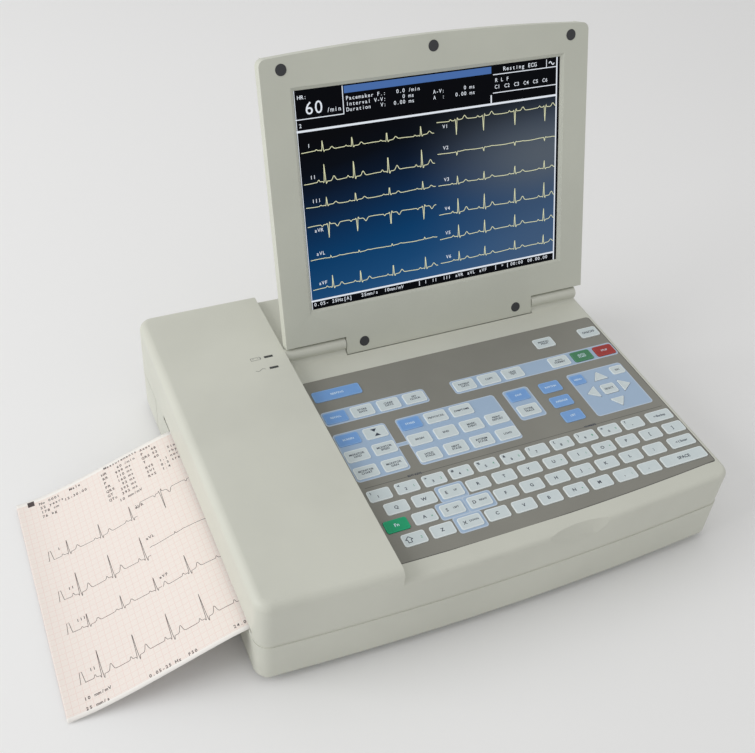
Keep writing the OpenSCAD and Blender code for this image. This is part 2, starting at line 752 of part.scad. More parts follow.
// Mains appliance inlet with its three blades, and the fuse bay beside it
module mains_inlet() color(c_dark) {
    difference() {
        union() {
            block([inlet_x - inlet[0] / 2 + 0.2, hd - inlet[2], inlet_z - inlet[1] / 2 + 0.2],
                  [inlet_x + inlet[0] / 2 + fuse[0] + 2.8, hd, inlet_z + inlet[1] / 2 - 0.2]);
            translate([inlet_x + fuse[0] / 2 + 1.5, hd, inlet_z]) along_y(0, flange[2])
                rrect(-flange[0] / 2, flange[0] / 2, -flange[1] / 2, flange[1] / 2, 3);
        }
        translate([inlet_x, hd - 15, inlet_z]) along_y(0, 20)
            polygon([[-12, -8], [12, -8], [12, 3], [7, 8], [-7, 8], [-12, 3]]);
        block([fuse_x - slide_fit, hd - fuse[2] - slide_fit, inlet_z - fuse[1] / 2 - slide_fit],
              [fuse_x + fuse[0] + slide_fit, hd + 5, inlet_z + fuse[1] / 2 + slide_fit]);
    }
    for (x = [-7, 0, 7]) block([inlet_x + x - 1, hd - 16, inlet_z - (x == 0 ? -1 : 3)],
                               [inlet_x + x + 1, hd - 1, inlet_z + (x == 0 ? 5 : 1)]);
}

fuse_x = inlet_x + inlet[0] / 2;
fuse_cap = 2;

// Pull-out fuse holder with a finger lip, and the caps of its two fuses
module fuse_drawer() color("#4a4b4e") {
    block([fuse_x, hd - fuse[2] + fuse_cap, inlet_z - fuse[1] / 2], [fuse_x + fuse[0], hd + flange[2], inlet_z + fuse[1] / 2]);
    block([fuse_x + 3, hd + flange[2] - eps, inlet_z + fuse[1] / 2 - 3], [fuse_x + fuse[0] - 3, hd + flange[2] + 1.5, inlet_z + fuse[1] / 2]);
    for (z = [-1, 1]) bar_y(fuse_x + fuse[0] / 2, hd - fuse[2], inlet_z + z * fuse[1] / 4, 2.6, fuse_cap + eps);
}

// Potential-equalisation terminal: a round pin on a collar
module equipotential_pin() color(c_steel) {
    bar_y(pin_x, hd - wall - 4, inlet_z, eq_r, wall + 4);
    bar_y(pin_x, hd, inlet_z, 7, 2);
    bar_y(pin_x, hd + 2, inlet_z, eq_r, eq_l);
    difference() {
        bar_y(pin_x, hd - wall - 3, inlet_z, 6, 3);
        bar_y(pin_x, hd - wall - 4, inlet_z, eq_r, 5);
    }
}

// Metal shell of a D-shaped socket seen from outside, w wide
module dsub_shape(w, h) {
    polygon([[-w / 2 + 2, -h / 2], [w / 2 - 2, -h / 2], [w / 2, h / 2], [-w / 2, h / 2]]);
}

// Panel socket with a flange, a D-shaped shell and two jack nuts spread gap apart
module dsub(w, gap) {
    difference() {
        union() {
            along_y(0, 1) rrect(-gap / 2 - 5, gap / 2 + 5, -6.25, 6.25, 2);
            along_y(-8, 8.5) square([w - 1, 10.6], center = true);
            along_y(1 - eps, 5) dsub_shape(w, 9.4);
            for (x = [-1, 1]) bar_y(x * gap / 2, 1 - eps, 0, 2.6, 5, $fn = 6);
        }
        along_y(5, 2) dsub_shape(w - 1.6, 7.8);
        for (x = [-1, 1]) bar_y(x * gap / 2, -1, 0, nut_r, 8);
    }
}

module data_socket() color(c_steel) translate([data_x, hd, inlet_z]) dsub(19, 25);

module patient_socket() color(c_steel) translate([hw, socket_y, socket_z]) rotate([0, 0, -90]) dsub(26, dsub_gap);

speaker_x = tray_x1 - 50;
speaker_y = hd - 26;
speaker_r = 18;

// Loudspeaker on the base, over its slots
module speaker() color(c_dark) translate([speaker_x, speaker_y, base_z]) {
    difference() {
        cylinder(r = speaker_r, h = 5);
        translate([0, 0, -1]) cylinder(r = speaker_r - 3, h = 4);
    }
    translate([0, 0, 5 - eps]) cylinder(r = 9, h = 8);
}

// Pins in the ears that reach into the hinge barrels
module hinge_pins() color(c_steel) on_keys() translate([lid_xc, 0, 0]) for (side = [0, 1]) mirror([side, 0, 0])
    bar_x(tongue_half - leaf_w - lid_wall, hinge_s, hinge_n, pin_r, leaf_w + lid_wall + pin_l - 0.5);

// Recorder drive, on a plate that stands on the base

// Involute gear in X and Z: pressure angle 20 degrees, stub teeth
function inv(rb, r) = let(a = acos(min(1, rb / r))) tan(a) * 180 / PI - a;
function polar(r, a) = [r * cos(a), r * sin(a)];

module gear_shape(teeth, turn) {
    rp = gear_m * teeth / 2;
    rb = rp * cos(20);
    tip = rp + 0.85 * gear_m;
    root = rp - 1.2 * gear_m;
    half = 90 / teeth - tooth_thin / 2 / rp * 180 / PI + inv(rb, rp);
    steps = 4;
    start = max(rb, root);
    flank = [for (i = [0:steps]) let(r = start + (tip - start) * i / steps) [r, half - inv(rb, r)]];
    polygon([for (k = [0:teeth - 1]) let(a = turn + 360 * k / teeth)
        each concat([polar(root, a - flank[0][1])], [for (f = flank) polar(f[0], a - f[1])],
                    [for (i = [steps:-1:0]) polar(flank[i][0], a + flank[i][1])], [polar(root, a + flank[0][1])])]);
}

idler_phase = 180 - 180 / idler_teeth;
pinion_phase = pinion_turn + 180 + (idler_teeth * (pinion_turn - idler_phase) + 180) / pinion_teeth;

module idler_gear() color(c_key) difference() {
    union() {
        translate([idler_x, 0, platen_z]) along_y(gear_y, gear_w) gear_shape(idler_teeth, idler_phase);
        bar_y(idler_x, gear_y, platen_z, 5, gear_w + 1.8);
    }
    bar_y(idler_x, gear_y - 1, platen_z, stub_r + run_fit, gear_w + 5);
    for (a = [0:60:300]) translate([idler_x + 9 * cos(a), 0, platen_z + 9 * sin(a)])
        bar_y(0, gear_y - 1, 0, 2, gear_w + 2);
}

module motor_pinion() color("#c8a24a") {
    translate([pinion_x, 0, pinion_z]) along_y(gear_y, gear_w) gear_shape(pinion_teeth, pinion_phase);
    bar_y(pinion_x, gear_y + gear_w - 0.5, pinion_z, motor_shaft_r, plate_t + 20);
}

module motor_plate() color(c_steel) difference() {
    union() {
        block([idler_x - 12, plate_y, base_z], [pinion_x + motor_r + 8, plate_y + plate_t, platen_z + 12]);
        block([idler_x - 12, plate_y, base_z], [pinion_x + motor_r + 8, plate_y + 14, base_z + plate_t]);
        bar_y(idler_x, gear_y - 1, platen_z, stub_r, plate_y - gear_y + 1.5);
    }
    bar_y(pinion_x, plate_y - 1, pinion_z, 5.5, plate_t + 2);
}

module drive_motor() color("#6f7174") difference() {
    union() {
        bar_y(pinion_x, plate_y + plate_t, pinion_z, motor_r, motor_l);
        bar_y(pinion_x, plate_y - 0.5, pinion_z, 5, plate_t + 1);
        bar_y(pinion_x, plate_y + plate_t + motor_l - eps, pinion_z, 6, 3);
    }
    bar_y(pinion_x, plate_y - 1, pinion_z, motor_shaft_r + run_fit, plate_t + 22);
}

// Runners under the tray, with guides beside it
module drawer_rails() color(c_steel) for (y = [tray_y0, tray_y1]) {
    out = y == tray_y0 ? -1 : 1;
    block([rail_x0, min(y - out * 6, y + out * rail_side), base_z], [tray_x1 - 2, max(y - out * 6, y + out * rail_side), base_z + rail_t]);
    block([rail_x0, min(y + out * 0.3, y + out * rail_side), base_z], [tray_x1 - 2, max(y + out * 0.3, y + out * rail_side), base_z + 9]);
}

bracket_x0 = pivot_x - 22;
bracket_x1 = pivot_x + 5;
spring_at = [for (y = [tray_y0 + 60, tray_y1 - 60]) [platen_x - 2, y]];

// Frame that hangs from the top skin and carries the print head's pivots
module head_bracket() color(c_steel) difference() {
    union() {
        block([bracket_x0, tray_y0, bracket_z], [bracket_x1, tray_y1, bracket_z + bracket_t]);
        for (y = [tray_y0, tray_y1 - bracket_t])
            block([pivot_x - 5, y, pivot_z - 5], [bracket_x1, y + bracket_t, bracket_z + bracket_t]);
    }
    bar_y(pivot_x, tray_y0 - 1, pivot_z, pivot_r + run_fit, tray_y1 - tray_y0 + 2);
}

// Springs between the bracket and the print head
module head_springs() color(c_steel) for (p = spring_at) translate([p[0], p[1], head_z + strip_t + head_h]) difference() {
    cylinder(r = spring_r, h = bracket_z - head_z - strip_t - head_h);
    translate([0, 0, -1]) cylinder(r = spring_r - 0.8, h = bracket_z);
}

// Finned bar that turns on the bracket's pivots and presses on the platen
module print_head() color("#b8bcbf") {
    head_x0 = platen_x - head_w / 2;
    difference() {
        union() {
            block([head_x0, paper_y0, head_z + strip_t], [head_x0 + head_w, paper_y1, head_z + strip_t + head_h]);
            block([head_x0 + head_w - eps, paper_y0 + 4, pivot_z - 4], [pivot_x, paper_y1 - 4, pivot_z + 4]);
            bar_y(pivot_x, paper_y0 + 4, pivot_z, 4, paper_w - 8);
        }
        for (i = [0:2]) block([head_x0 + 2.5 + 4.5 * i, paper_y0 - 1, head_z + strip_t + 5], [head_x0 + 5 + 4.5 * i, tray_y0 + 50, head_z + far]);
        for (i = [0:2]) block([head_x0 + 2.5 + 4.5 * i, tray_y0 + 70, head_z + strip_t + 5], [head_x0 + 5 + 4.5 * i, tray_y1 - 70, head_z + far]);
        for (i = [0:2]) block([head_x0 + 2.5 + 4.5 * i, tray_y1 - 50, head_z + strip_t + 5], [head_x0 + 5 + 4.5 * i, paper_y1 + 1, head_z + far]);
    }
    bar_y(pivot_x, tray_y0 + 0.2, pivot_z, pivot_r, tray_y1 - tray_y0 - 0.4);
}

module heater_strip() color(c_dark)
    block([platen_x - 5, paper_y0 + 1, head_z], [platen_x + 5, paper_y1 - 1, head_z + strip_t]);

// Drawer: front panel, tray, paper and platen

module drawer_front() color(c_body) difference() {
    block([-hw, drawer_y0 + panel_gap, base_z + panel_gap], [-hw + panel_t, drawer_y1 - panel_gap, part_z - panel_gap]);
    // grip under the panel's lower edge
    translate([-hw, (drawer_y0 + drawer_y1) / 2, base_z]) rotate([0, 90, 0])
        translate([10, 0, -1]) cylinder(r = 18, h = 2.5);
}

module drawer_tray() color("#b0b1a8") difference() {
    union() {
        difference() {
            block([-hw + panel_t, tray_y0, tray_z], [tray_x1, tray_y1, pack_z + well_h]);
            block([-hw + panel_t + 30, tray_y0 + tray_wall, pack_z], [tray_x1 - tray_wall, tray_y1 - tray_wall, part_z]);
            block([-hw + panel_t + tray_wall, tray_y0 + tray_wall, pack_z], [-hw + panel_t + 40, tray_y1 - tray_wall, part_z]);
        }
        for (y = [tray_y0, tray_y1 - tray_wall])
            block([-hw + panel_t, y, pack_z], [platen_x + 10, y + tray_wall, part_z - panel_gap]);
    }
    bar_y(platen_x, tray_y0 - 1, platen_z, shaft_r + 2, tray_y1 - tray_y0 + 2);
}

module platen_bushes() color("#c8a24a") for (y = [tray_y0, tray_y1 - tray_wall]) difference() {
    bar_y(platen_x, y, platen_z, shaft_r + 2, tray_wall);
    bar_y(platen_x, y - 1, platen_z, shaft_r + run_fit, tray_wall + 2);
}

module paper_pack() color(c_paper)
    block([pack_x1 - pack_l, paper_y0, pack_z], [pack_x1, paper_y1, pack_z + pack_h]);

// Middle line of the paper, as [x, z]: off the pack, round the platen's upper
// right, and down to the table on a Bezier curve
wrap_r = platen_r + sheet_lift + paper_t / 2;
crest = platen_z + wrap_r;
wrap_from = 35;
wrap = [for (a = [wrap_from:11:90]) [platen_x, platen_z] + polar(wrap_r, a)];
pack_top = pack_z + pack_h + 0.3;
rise_x = wrap[0][0] + (wrap[0][1] - pack_top) * tan(wrap_from);
fall = [[-hw + 4, crest], [-hw - 22, crest + 1], [-hw - 62, 1], [-hw - paper_out, paper_t]];
function bezier(p, t) = pow(1 - t, 3) * p[0] + 3 * pow(1 - t, 2) * t * p[1] + 3 * (1 - t) * t * t * p[2] + t * t * t * p[3];
paper_line = concat([[pack_x1 - 60, pack_top], [rise_x, pack_top]], wrap, [for (i = [0:24]) bezier(fall, i / 24)]);
last = len(paper_line) - 1;
// Half a sheet's thickness, square to the line at point i
function half_sheet(i) = let(d = paper_line[min(i + 1, last)] - paper_line[max(i - 1, 0)])
    [d[1], -d[0]] / norm(d) * paper_t / 2;

module paper_sheet() color(c_paper) along_y(paper_y0, paper_w)
    polygon(concat([for (i = [0:last]) paper_line[i] + half_sheet(i)],
                   [for (i = [last:-1:0]) paper_line[i] - half_sheet(i)]));

module platen_shaft() color(c_steel) bar_y(platen_x, tray_y0 - 0.8, platen_z, shaft_r, gear_y + gear_w + 0.8 - tray_y0);

module platen_rubber() color(c_dark) difference() {
    bar_y(platen_x, paper_y0 - 1, platen_z, platen_r, paper_w + 2);
    bar_y(platen_x, paper_y0 - 2, platen_z, shaft_r, paper_w + 4);
}

module platen_gear() color(c_key) difference() {
    union() {
        translate([platen_x, 0, platen_z]) along_y(gear_y, gear_w) gear_shape(platen_teeth, 0);
        bar_y(platen_x, gear_y - 2, platen_z, 5, 2);
    }
    bar_y(platen_x, gear_y - 3, platen_z, shaft_r, gear_w + 5);
}

// Lid

// Outline of the lid without its tongue, moved in by i
module lid_outline(i) {
    r = max(lid_r - i, 0.5);
    half = lid_half - i;
    arc = arch_r - i;
    v = arch_v + sqrt(pow(arc - r, 2) - pow(half - r, 2));
    touch = (half - r) * arc / (arc - r);
    translate([lid_xc, 0]) {
        intersection() {
            translate([-touch, i]) square([2 * touch, lid_h + lid_crown]);
            translate([0, arch_v]) circle(arc, $fn = arch_fn);
        }
        translate([-half, i]) square([2 * half, v - i]);
        for (side = [-1, 1]) translate([side * (half - r), v]) circle(r);
    }
}

// Corner of the arched top: the height of its middle, and the arch's half angle there
corner_v = arch_v + sqrt(pow(arch_r - lid_r, 2) - pow(lid_half - lid_r, 2));
arch_turn = asin((lid_half - lid_r) / (arch_r - lid_r));

// Outline that bevels a rear edge lying at x
module bevel(x) {
    in = x > 0 ? min(chamfer, x) : chamfer;
    polygon([[x - in, -1], [x - in, chamfer - in], [x, chamfer], [x + chamfer, chamfer], [x + chamfer, -1]]);
}

// Outline of the tongue, moved in by i and run up past the lid's lower edge
module tongue_outline(i) {
    translate([lid_xc - tongue_half + i, -tongue_h + i]) square([tongue_w - 2 * i, tongue_h + 4]);
}

plug_at = concat([for (x = [-plug_side, 0, plug_side]) [lid_xc + x, plug_top + (x == 0 ? lid_crown - 1 : 0)]],
                 [for (side = [-1, 1]) [lid_xc + side * plug_in, plug_low]]);
lcd_x = lid_xc - lcd_w / 2;
head_seat = bezel_t - 2.5;

// Opening over the screen, flared towards the front
module screen_opening() {
    intersection() {
        along_y(0, lid_h) polygon([[lcd_x, -face_t - 1], [lcd_x + lcd_w, -face_t - 1], [lcd_x + lcd_w, -face_t],
            [lcd_x + lcd_w + lcd_flare, eps], [lcd_x - lcd_flare, eps], [lcd_x, -face_t]]);
        along_x(lid_x0, lid_x1 - lid_x0) polygon([[lcd_v, -face_t - 1], [lcd_v + lcd_h, -face_t - 1], [lcd_v + lcd_h, -face_t],
            [lcd_v + lcd_h + lcd_flare, eps], [lcd_v - lcd_flare, eps], [lcd_v, -face_t]]);
    }
}

// Room for the hinge barrels and pins in the tongue
module hinge_room() {
    bar_x(lid_xc - tongue_half - 1, -hinge_h, -hinge_in, pin_r + 0.5, tongue_w + 2);
    for (side = [-1, 1])
        bar_x(lid_xc + side * (tongue_half - lid_wall - leaf_w / 2 - 0.25) - leaf_w / 2 - 0.25, -hinge_h, -hinge_in, leaf_r + 0.25, leaf_w + 0.5);
}

module lid_bezel() color(c_body) on_lid() difference() {
    union() {
        difference() {
            translate([0, 0, -bezel_t]) linear_extrude(bezel_t) {
                lid_outline(0);
                tongue_outline(0);
            }
            translate([0, 0, -bezel_t - 1]) linear_extrude(bezel_t + 1 - face_t) {
                lid_outline(lid_wall);
                tongue_outline(lid_wall);
            }
        }
        for (p = plug_at) translate([p[0], p[1], -bezel_t]) cylinder(r = plug_r + 1.5, h = bezel_t - 1);
    }
    screen_opening();
    hinge_room();
    for (p = plug_at) translate([p[0], p[1], 0]) {
        translate([0, 0, -head_seat]) cylinder(r = plug_r + 0.05, h = far);
        translate([0, 0, -bezel_t - 1]) cylinder(r = screw_r + screw_fit, h = far);
    }
}

module lid_cover() color(c_body) on_lid() difference() {
    union() {
        difference() {
            union() {
                translate([0, 0, -lid_t]) linear_extrude(lid_t - bezel_t) lid_outline(0);
                translate([0, 0, -tongue_t]) linear_extrude(tongue_t - bezel_t) tongue_outline(0);
            }
            translate([0, 0, -lid_t + chamfer]) linear_extrude(lid_t) lid_outline(lid_wall);
            translate([0, 0, -lid_t + lid_wall]) linear_extrude(lid_t)
                rrect(lid_x0 + well_in, lid_x1 - well_in, well_in, lid_h - well_in, 1);
            translate([0, 0, -tongue_t + 1.5]) linear_extrude(lid_t) tongue_outline(lid_wall);
        }
        for (p = plug_at) translate([p[0], p[1], p[1] > 0 ? -lid_t + lid_wall - eps : -tongue_t + 1])
            cylinder(r = plug_r, h = (p[1] > 0 ? lid_t - lid_wall + eps : tongue_t - 1) - bezel_t);
        for (x = [-lcd_w / 2, lcd_w / 2], v = [0, lcd_h]) translate([lid_xc + x, lcd_v + v, -lid_t + lid_wall - eps])
            cylinder(r = post_r, h = lid_t - lid_wall + eps - face_t - screen_t - lcd_t);
    }
    // bevelled rear edges: lower edge, arched top, corners and sides
    translate([0, 0, -lid_t]) along_x(lid_x0 - 1, lid_x1 - lid_x0 + 2) mirror([1, 0]) bevel(0);
    translate([lid_xc, arch_v, -lid_t]) rotate([0, 0, 90 - arch_turn])
        rotate_extrude(angle = 2 * arch_turn, $fn = arch_fn) bevel(arch_r);
    translate([lid_xc, corner_v, -lid_t]) for (side = [0, 1]) mirror([side, 0, 0]) {
        translate([lid_half - lid_r, 0, 0]) rotate_extrude(angle = 90 - arch_turn) bevel(lid_r);
        along_y(-corner_v - 1, corner_v + 1) bevel(lid_half);
    }
    hinge_room();
    for (p = plug_at) translate([p[0], p[1], p[1] > 0 ? -lid_t + lid_wall : -tongue_t + 1.5]) cylinder(r = screw_r + 0.05, h = lid_t);
}

module screen() color("#1d3560") on_lid()
    translate([lcd_x - 2.5, lcd_v - 2.5, -face_t - screen_t]) cube([lcd_w + 5, lcd_h + 5, screen_t]);

module lcd_module() color(c_steel) on_lid()
    translate([lcd_x - lcd_edge, lcd_v - lcd_edge, -face_t - screen_t - lcd_t]) cube([lcd_w + 2 * lcd_edge, lcd_h + 2 * lcd_edge, lcd_t]);

// Lamp supply board along the lid's lower edge
module lid_board() color(c_board) on_lid() {
    translate([lid_xc - 60, 7, -lid_t + lid_wall]) cube([120, 13, board_t]);
    for (x = [-50, -20, 20]) translate([lid_xc + x, 9, -lid_t + lid_wall + board_t - eps]) cube([22, 9, 4]);
}

module lid_plugs() color(c_dark) on_lid() for (p = plug_at) translate([p[0], p[1], -plug_t + 0.3])
    cylinder(r = plug_r, h = plug_t);

module lid_screws() color(c_steel) on_lid() for (p = plug_at) translate([p[0], p[1], -head_seat]) {
    cylinder(r = head_r - 0.4, h = head_seat - plug_t + 0.2);
    end = p[1] > 0 ? lid_t - lid_wall - 1 : tongue_t - 2;
    translate([0, 0, head_seat - end]) cylinder(r = screw_r, h = end - head_seat + eps);
}

// Hinge barrels that turn on the pins, each with a leaf up into the lid
module hinge_leaves() color(c_steel) on_lid() for (side = [-1, 1]) difference() {
    x = lid_xc + side * (tongue_half - lid_wall - leaf_w / 2 - 0.25) - leaf_w / 2;
    union() {
        bar_x(x, -hinge_h, -hinge_in, leaf_r, leaf_w);
        block([x, -hinge_h, -hinge_in - leaf_r], [x + leaf_w, 14, -hinge_in - leaf_r + leaf_t]);
    }
    bar_x(x - 1, -hinge_h, -hinge_in, pin_r + run_fit, leaf_w + 2);
}

lower_housing();
upper_housing();
keypad_overlay();
function_keys();
letter_keys();
label_keys();
keypad_board();
status_windows();
rubber_feet();
housing_screws();
battery_pack();
battery_cover();
main_board();
power_board();
mains_inlet();
fuse_drawer();
equipotential_pin();
patient_socket();
data_socket();
speaker();
drive_motor();
motor_plate();
motor_pinion();
idler_gear();
drawer_rails();
head_bracket();
head_springs();
print_head();
heater_strip();
hinge_pins();
lid_bezel();
lid_cover();
screen();
lcd_module();
lid_board();
lid_plugs();
lid_screws();
hinge_leaves();
drawer_front();
drawer_tray();
paper_pack();
paper_sheet();
platen_bushes();
platen_shaft();
platen_rubber();
platen_gear();
power_key();
start_key();
stop_key();
fn_key();
up_key();
down_key();
left_key();
right_key();
select_key();
manual_key();
space_key();
enter_key();
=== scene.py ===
"""Looks of a console electrocardiograph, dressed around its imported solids.

Metres, +Z up, +X to the user's right, +Y to the rear, as in the solids. Sizes in the
dataclasses are in millimetres and are turned to metres where a mesh is made.
"""

from __future__ import annotations

import json
import logging
import math
from dataclasses import dataclass, field
from enum import Enum
from typing import Any, Sequence

import bmesh
import bpy
import numpy as np
from mathutils import Matrix, Vector

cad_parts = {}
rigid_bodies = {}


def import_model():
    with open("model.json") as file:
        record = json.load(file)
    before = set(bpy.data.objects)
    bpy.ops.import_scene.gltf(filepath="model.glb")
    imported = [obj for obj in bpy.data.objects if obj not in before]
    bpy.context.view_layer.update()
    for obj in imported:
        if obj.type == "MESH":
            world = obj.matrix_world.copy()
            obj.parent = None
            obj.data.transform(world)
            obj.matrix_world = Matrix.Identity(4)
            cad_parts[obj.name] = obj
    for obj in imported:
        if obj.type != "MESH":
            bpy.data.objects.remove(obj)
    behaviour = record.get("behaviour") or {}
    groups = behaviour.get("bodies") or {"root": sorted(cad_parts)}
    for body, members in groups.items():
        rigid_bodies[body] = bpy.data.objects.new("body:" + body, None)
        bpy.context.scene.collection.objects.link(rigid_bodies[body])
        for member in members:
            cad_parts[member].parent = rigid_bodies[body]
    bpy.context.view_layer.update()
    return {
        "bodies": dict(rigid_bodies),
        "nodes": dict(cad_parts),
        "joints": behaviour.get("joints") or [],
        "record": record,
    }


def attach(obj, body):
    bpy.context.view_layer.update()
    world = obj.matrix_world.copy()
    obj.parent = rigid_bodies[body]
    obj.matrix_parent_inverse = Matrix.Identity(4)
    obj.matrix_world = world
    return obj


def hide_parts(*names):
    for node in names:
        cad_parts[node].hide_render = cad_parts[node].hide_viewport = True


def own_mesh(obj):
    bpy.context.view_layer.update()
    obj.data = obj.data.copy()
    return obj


LOG = logging.getLogger("electrocardiograph")
MM = 0.001
IMAGE_WIDTH = 755
SENSOR_WIDTH = 36.0
KEYBOARD_HEIGHT = 80.2
KEYBOARD_SLOPE = 1.2
INK_THICK = 0.03
X_AXIS = (1.0, 0.0, 0.0)
Y_AXIS = (0.0, 1.0, 0.0)
Z_AXIS = (0.0, 0.0, 1.0)
CORNERS = np.array([[-1, -1], [1, -1], [1, 1], [-1, 1]])

Array = np.ndarray
Pair = tuple[float, float]
Triple = tuple[float, float, float]


@dataclass(frozen=True)
class Tint:
    """A colour as it looks on a screen, each channel from 0 to 255."""

    red: float
    green: float
    blue: float

    def linear(self) -> tuple[float, float, float, float]:
        """Turns the colour to linear light by the sRGB curve.

        Returns:
            Red, green and blue from 0 to 1, and a full alpha.
        """
        c = np.array([self.red, self.green, self.blue]) / 255.0
        low = c / 12.92
        high = ((c + 0.055) / 1.055) ** 2.4
        out = np.where(c <= 0.04045, low, high)
        return float(out[0]), float(out[1]), float(out[2]), 1.0

    def times(self, share: float) -> "Tint":
        """The same hue, lighter or darker."""
        return Tint(*(min(255.0, v * share) for v in (self.red, self.green, self.blue)))


class Ink(Enum):
    """Colours printed on the keys, the housing and the paper."""

    LEGEND = Tint(44, 52, 68)
    PALE = Tint(200, 219, 240)
    GREEN = Tint(70, 150, 118)
    CHART = Tint(70, 60, 60)
    MARK = Tint(96, 98, 96)


class Glow(Enum):
    """Colours that the screen lights up in."""

    WHITE = Tint(226, 232, 240)
    TRACE = Tint(222, 224, 184)
    BAR = Tint(72, 108, 168)


class Cap(Enum):
    """Colours of the key caps, each with the paler colour painted on its border as a highlight of its raised
    edge.
    """

    WHITE = (Tint(206, 217, 219), Tint(226, 234, 235))
    BLUE = (Tint(118, 163, 220), Tint(134, 176, 226))
    GREEN = (Tint(62, 128, 88), Tint(78, 142, 102))
    RED = (Tint(160, 44, 40), Tint(174, 60, 54))
    TEAL = (Tint(0, 160, 108), Tint(16, 168, 118))


class Wire:
    """A shader socket that takes part in Python arithmetic."""

    def __init__(self, shader: "Shader", socket: bpy.types.NodeSocket) -> None:
        """Wraps one output socket of a shader."""
        self.shader = shader
        self.socket = socket

    def _math(self, operation: str, *values: Any) -> "Wire":
        """Adds a Math node.

        Args:
            operation: What it works out.
            values: Its inputs in order, as wires or numbers.

        Returns:
            Its output.
        """
        inputs = dict(enumerate(values))
        node = self.shader.node("ShaderNodeMath", {"operation": operation}, inputs)
        return Wire(self.shader, node.outputs[0])

    def __add__(self, other: Any) -> "Wire":
        """self + other."""
        return self._math("ADD", self, other)

    __radd__ = __add__

    def __sub__(self, other: Any) -> "Wire":
        """self - other."""
        return self._math("SUBTRACT", self, other)

    def __rsub__(self, other: Any) -> "Wire":
        """other - self."""
        return self._math("SUBTRACT", other, self)

    def __mul__(self, other: Any) -> "Wire":
        """self * other."""
        return self._math("MULTIPLY", self, other)

    __rmul__ = __mul__

    def __truediv__(self, other: Any) -> "Wire":
        """self / other."""
        return self._math("DIVIDE", self, other)

    def __rtruediv__(self, other: Any) -> "Wire":
        """other / self."""
        return self._math("DIVIDE", other, self)

    def __abs__(self) -> "Wire":
        """The size of self without its sign."""
        return self._math("ABSOLUTE", self)

    def most(self, other: Any) -> "Wire":
        """The larger of self and other."""
        return self._math("MAXIMUM", self, other)

    def least(self, other: Any) -> "Wire":
        """The smaller of self and other."""
        return self._math("MINIMUM", self, other)

    def root(self) -> "Wire":
        """The square root of self."""
        return self._math("SQRT", self)

    def wave(self) -> "Wire":
        """The sine of self."""
        return self._math("SINE", self)

    def ramp(self, low: float, high: float) -> "Wire":
        """Runs from 0 to 1, smooth at both ends.

        Args:
            low: Where it leaves 0.
            high: Where it reaches 1.

        Returns:
            The share.
        """
        node = self.shader.node(
            "ShaderNodeMapRange",
            {"interpolation_type": "SMOOTHSTEP", "clamp": True},
            {"Value": self, "From Min": low, "From Max": high, "To Min": 0.0, "To Max": 1.0},
        )
        return Wire(self.shader, node.outputs["Result"])

    def near(self, pitch: float, half: float, soft: float) -> "Wire":
        """1 on lines a pitch apart and twice half wide, with soft edges, else 0."""
        off = self._math("PINGPONG", self, pitch / 2)
        return 1.0 - off.ramp(half, half + soft)


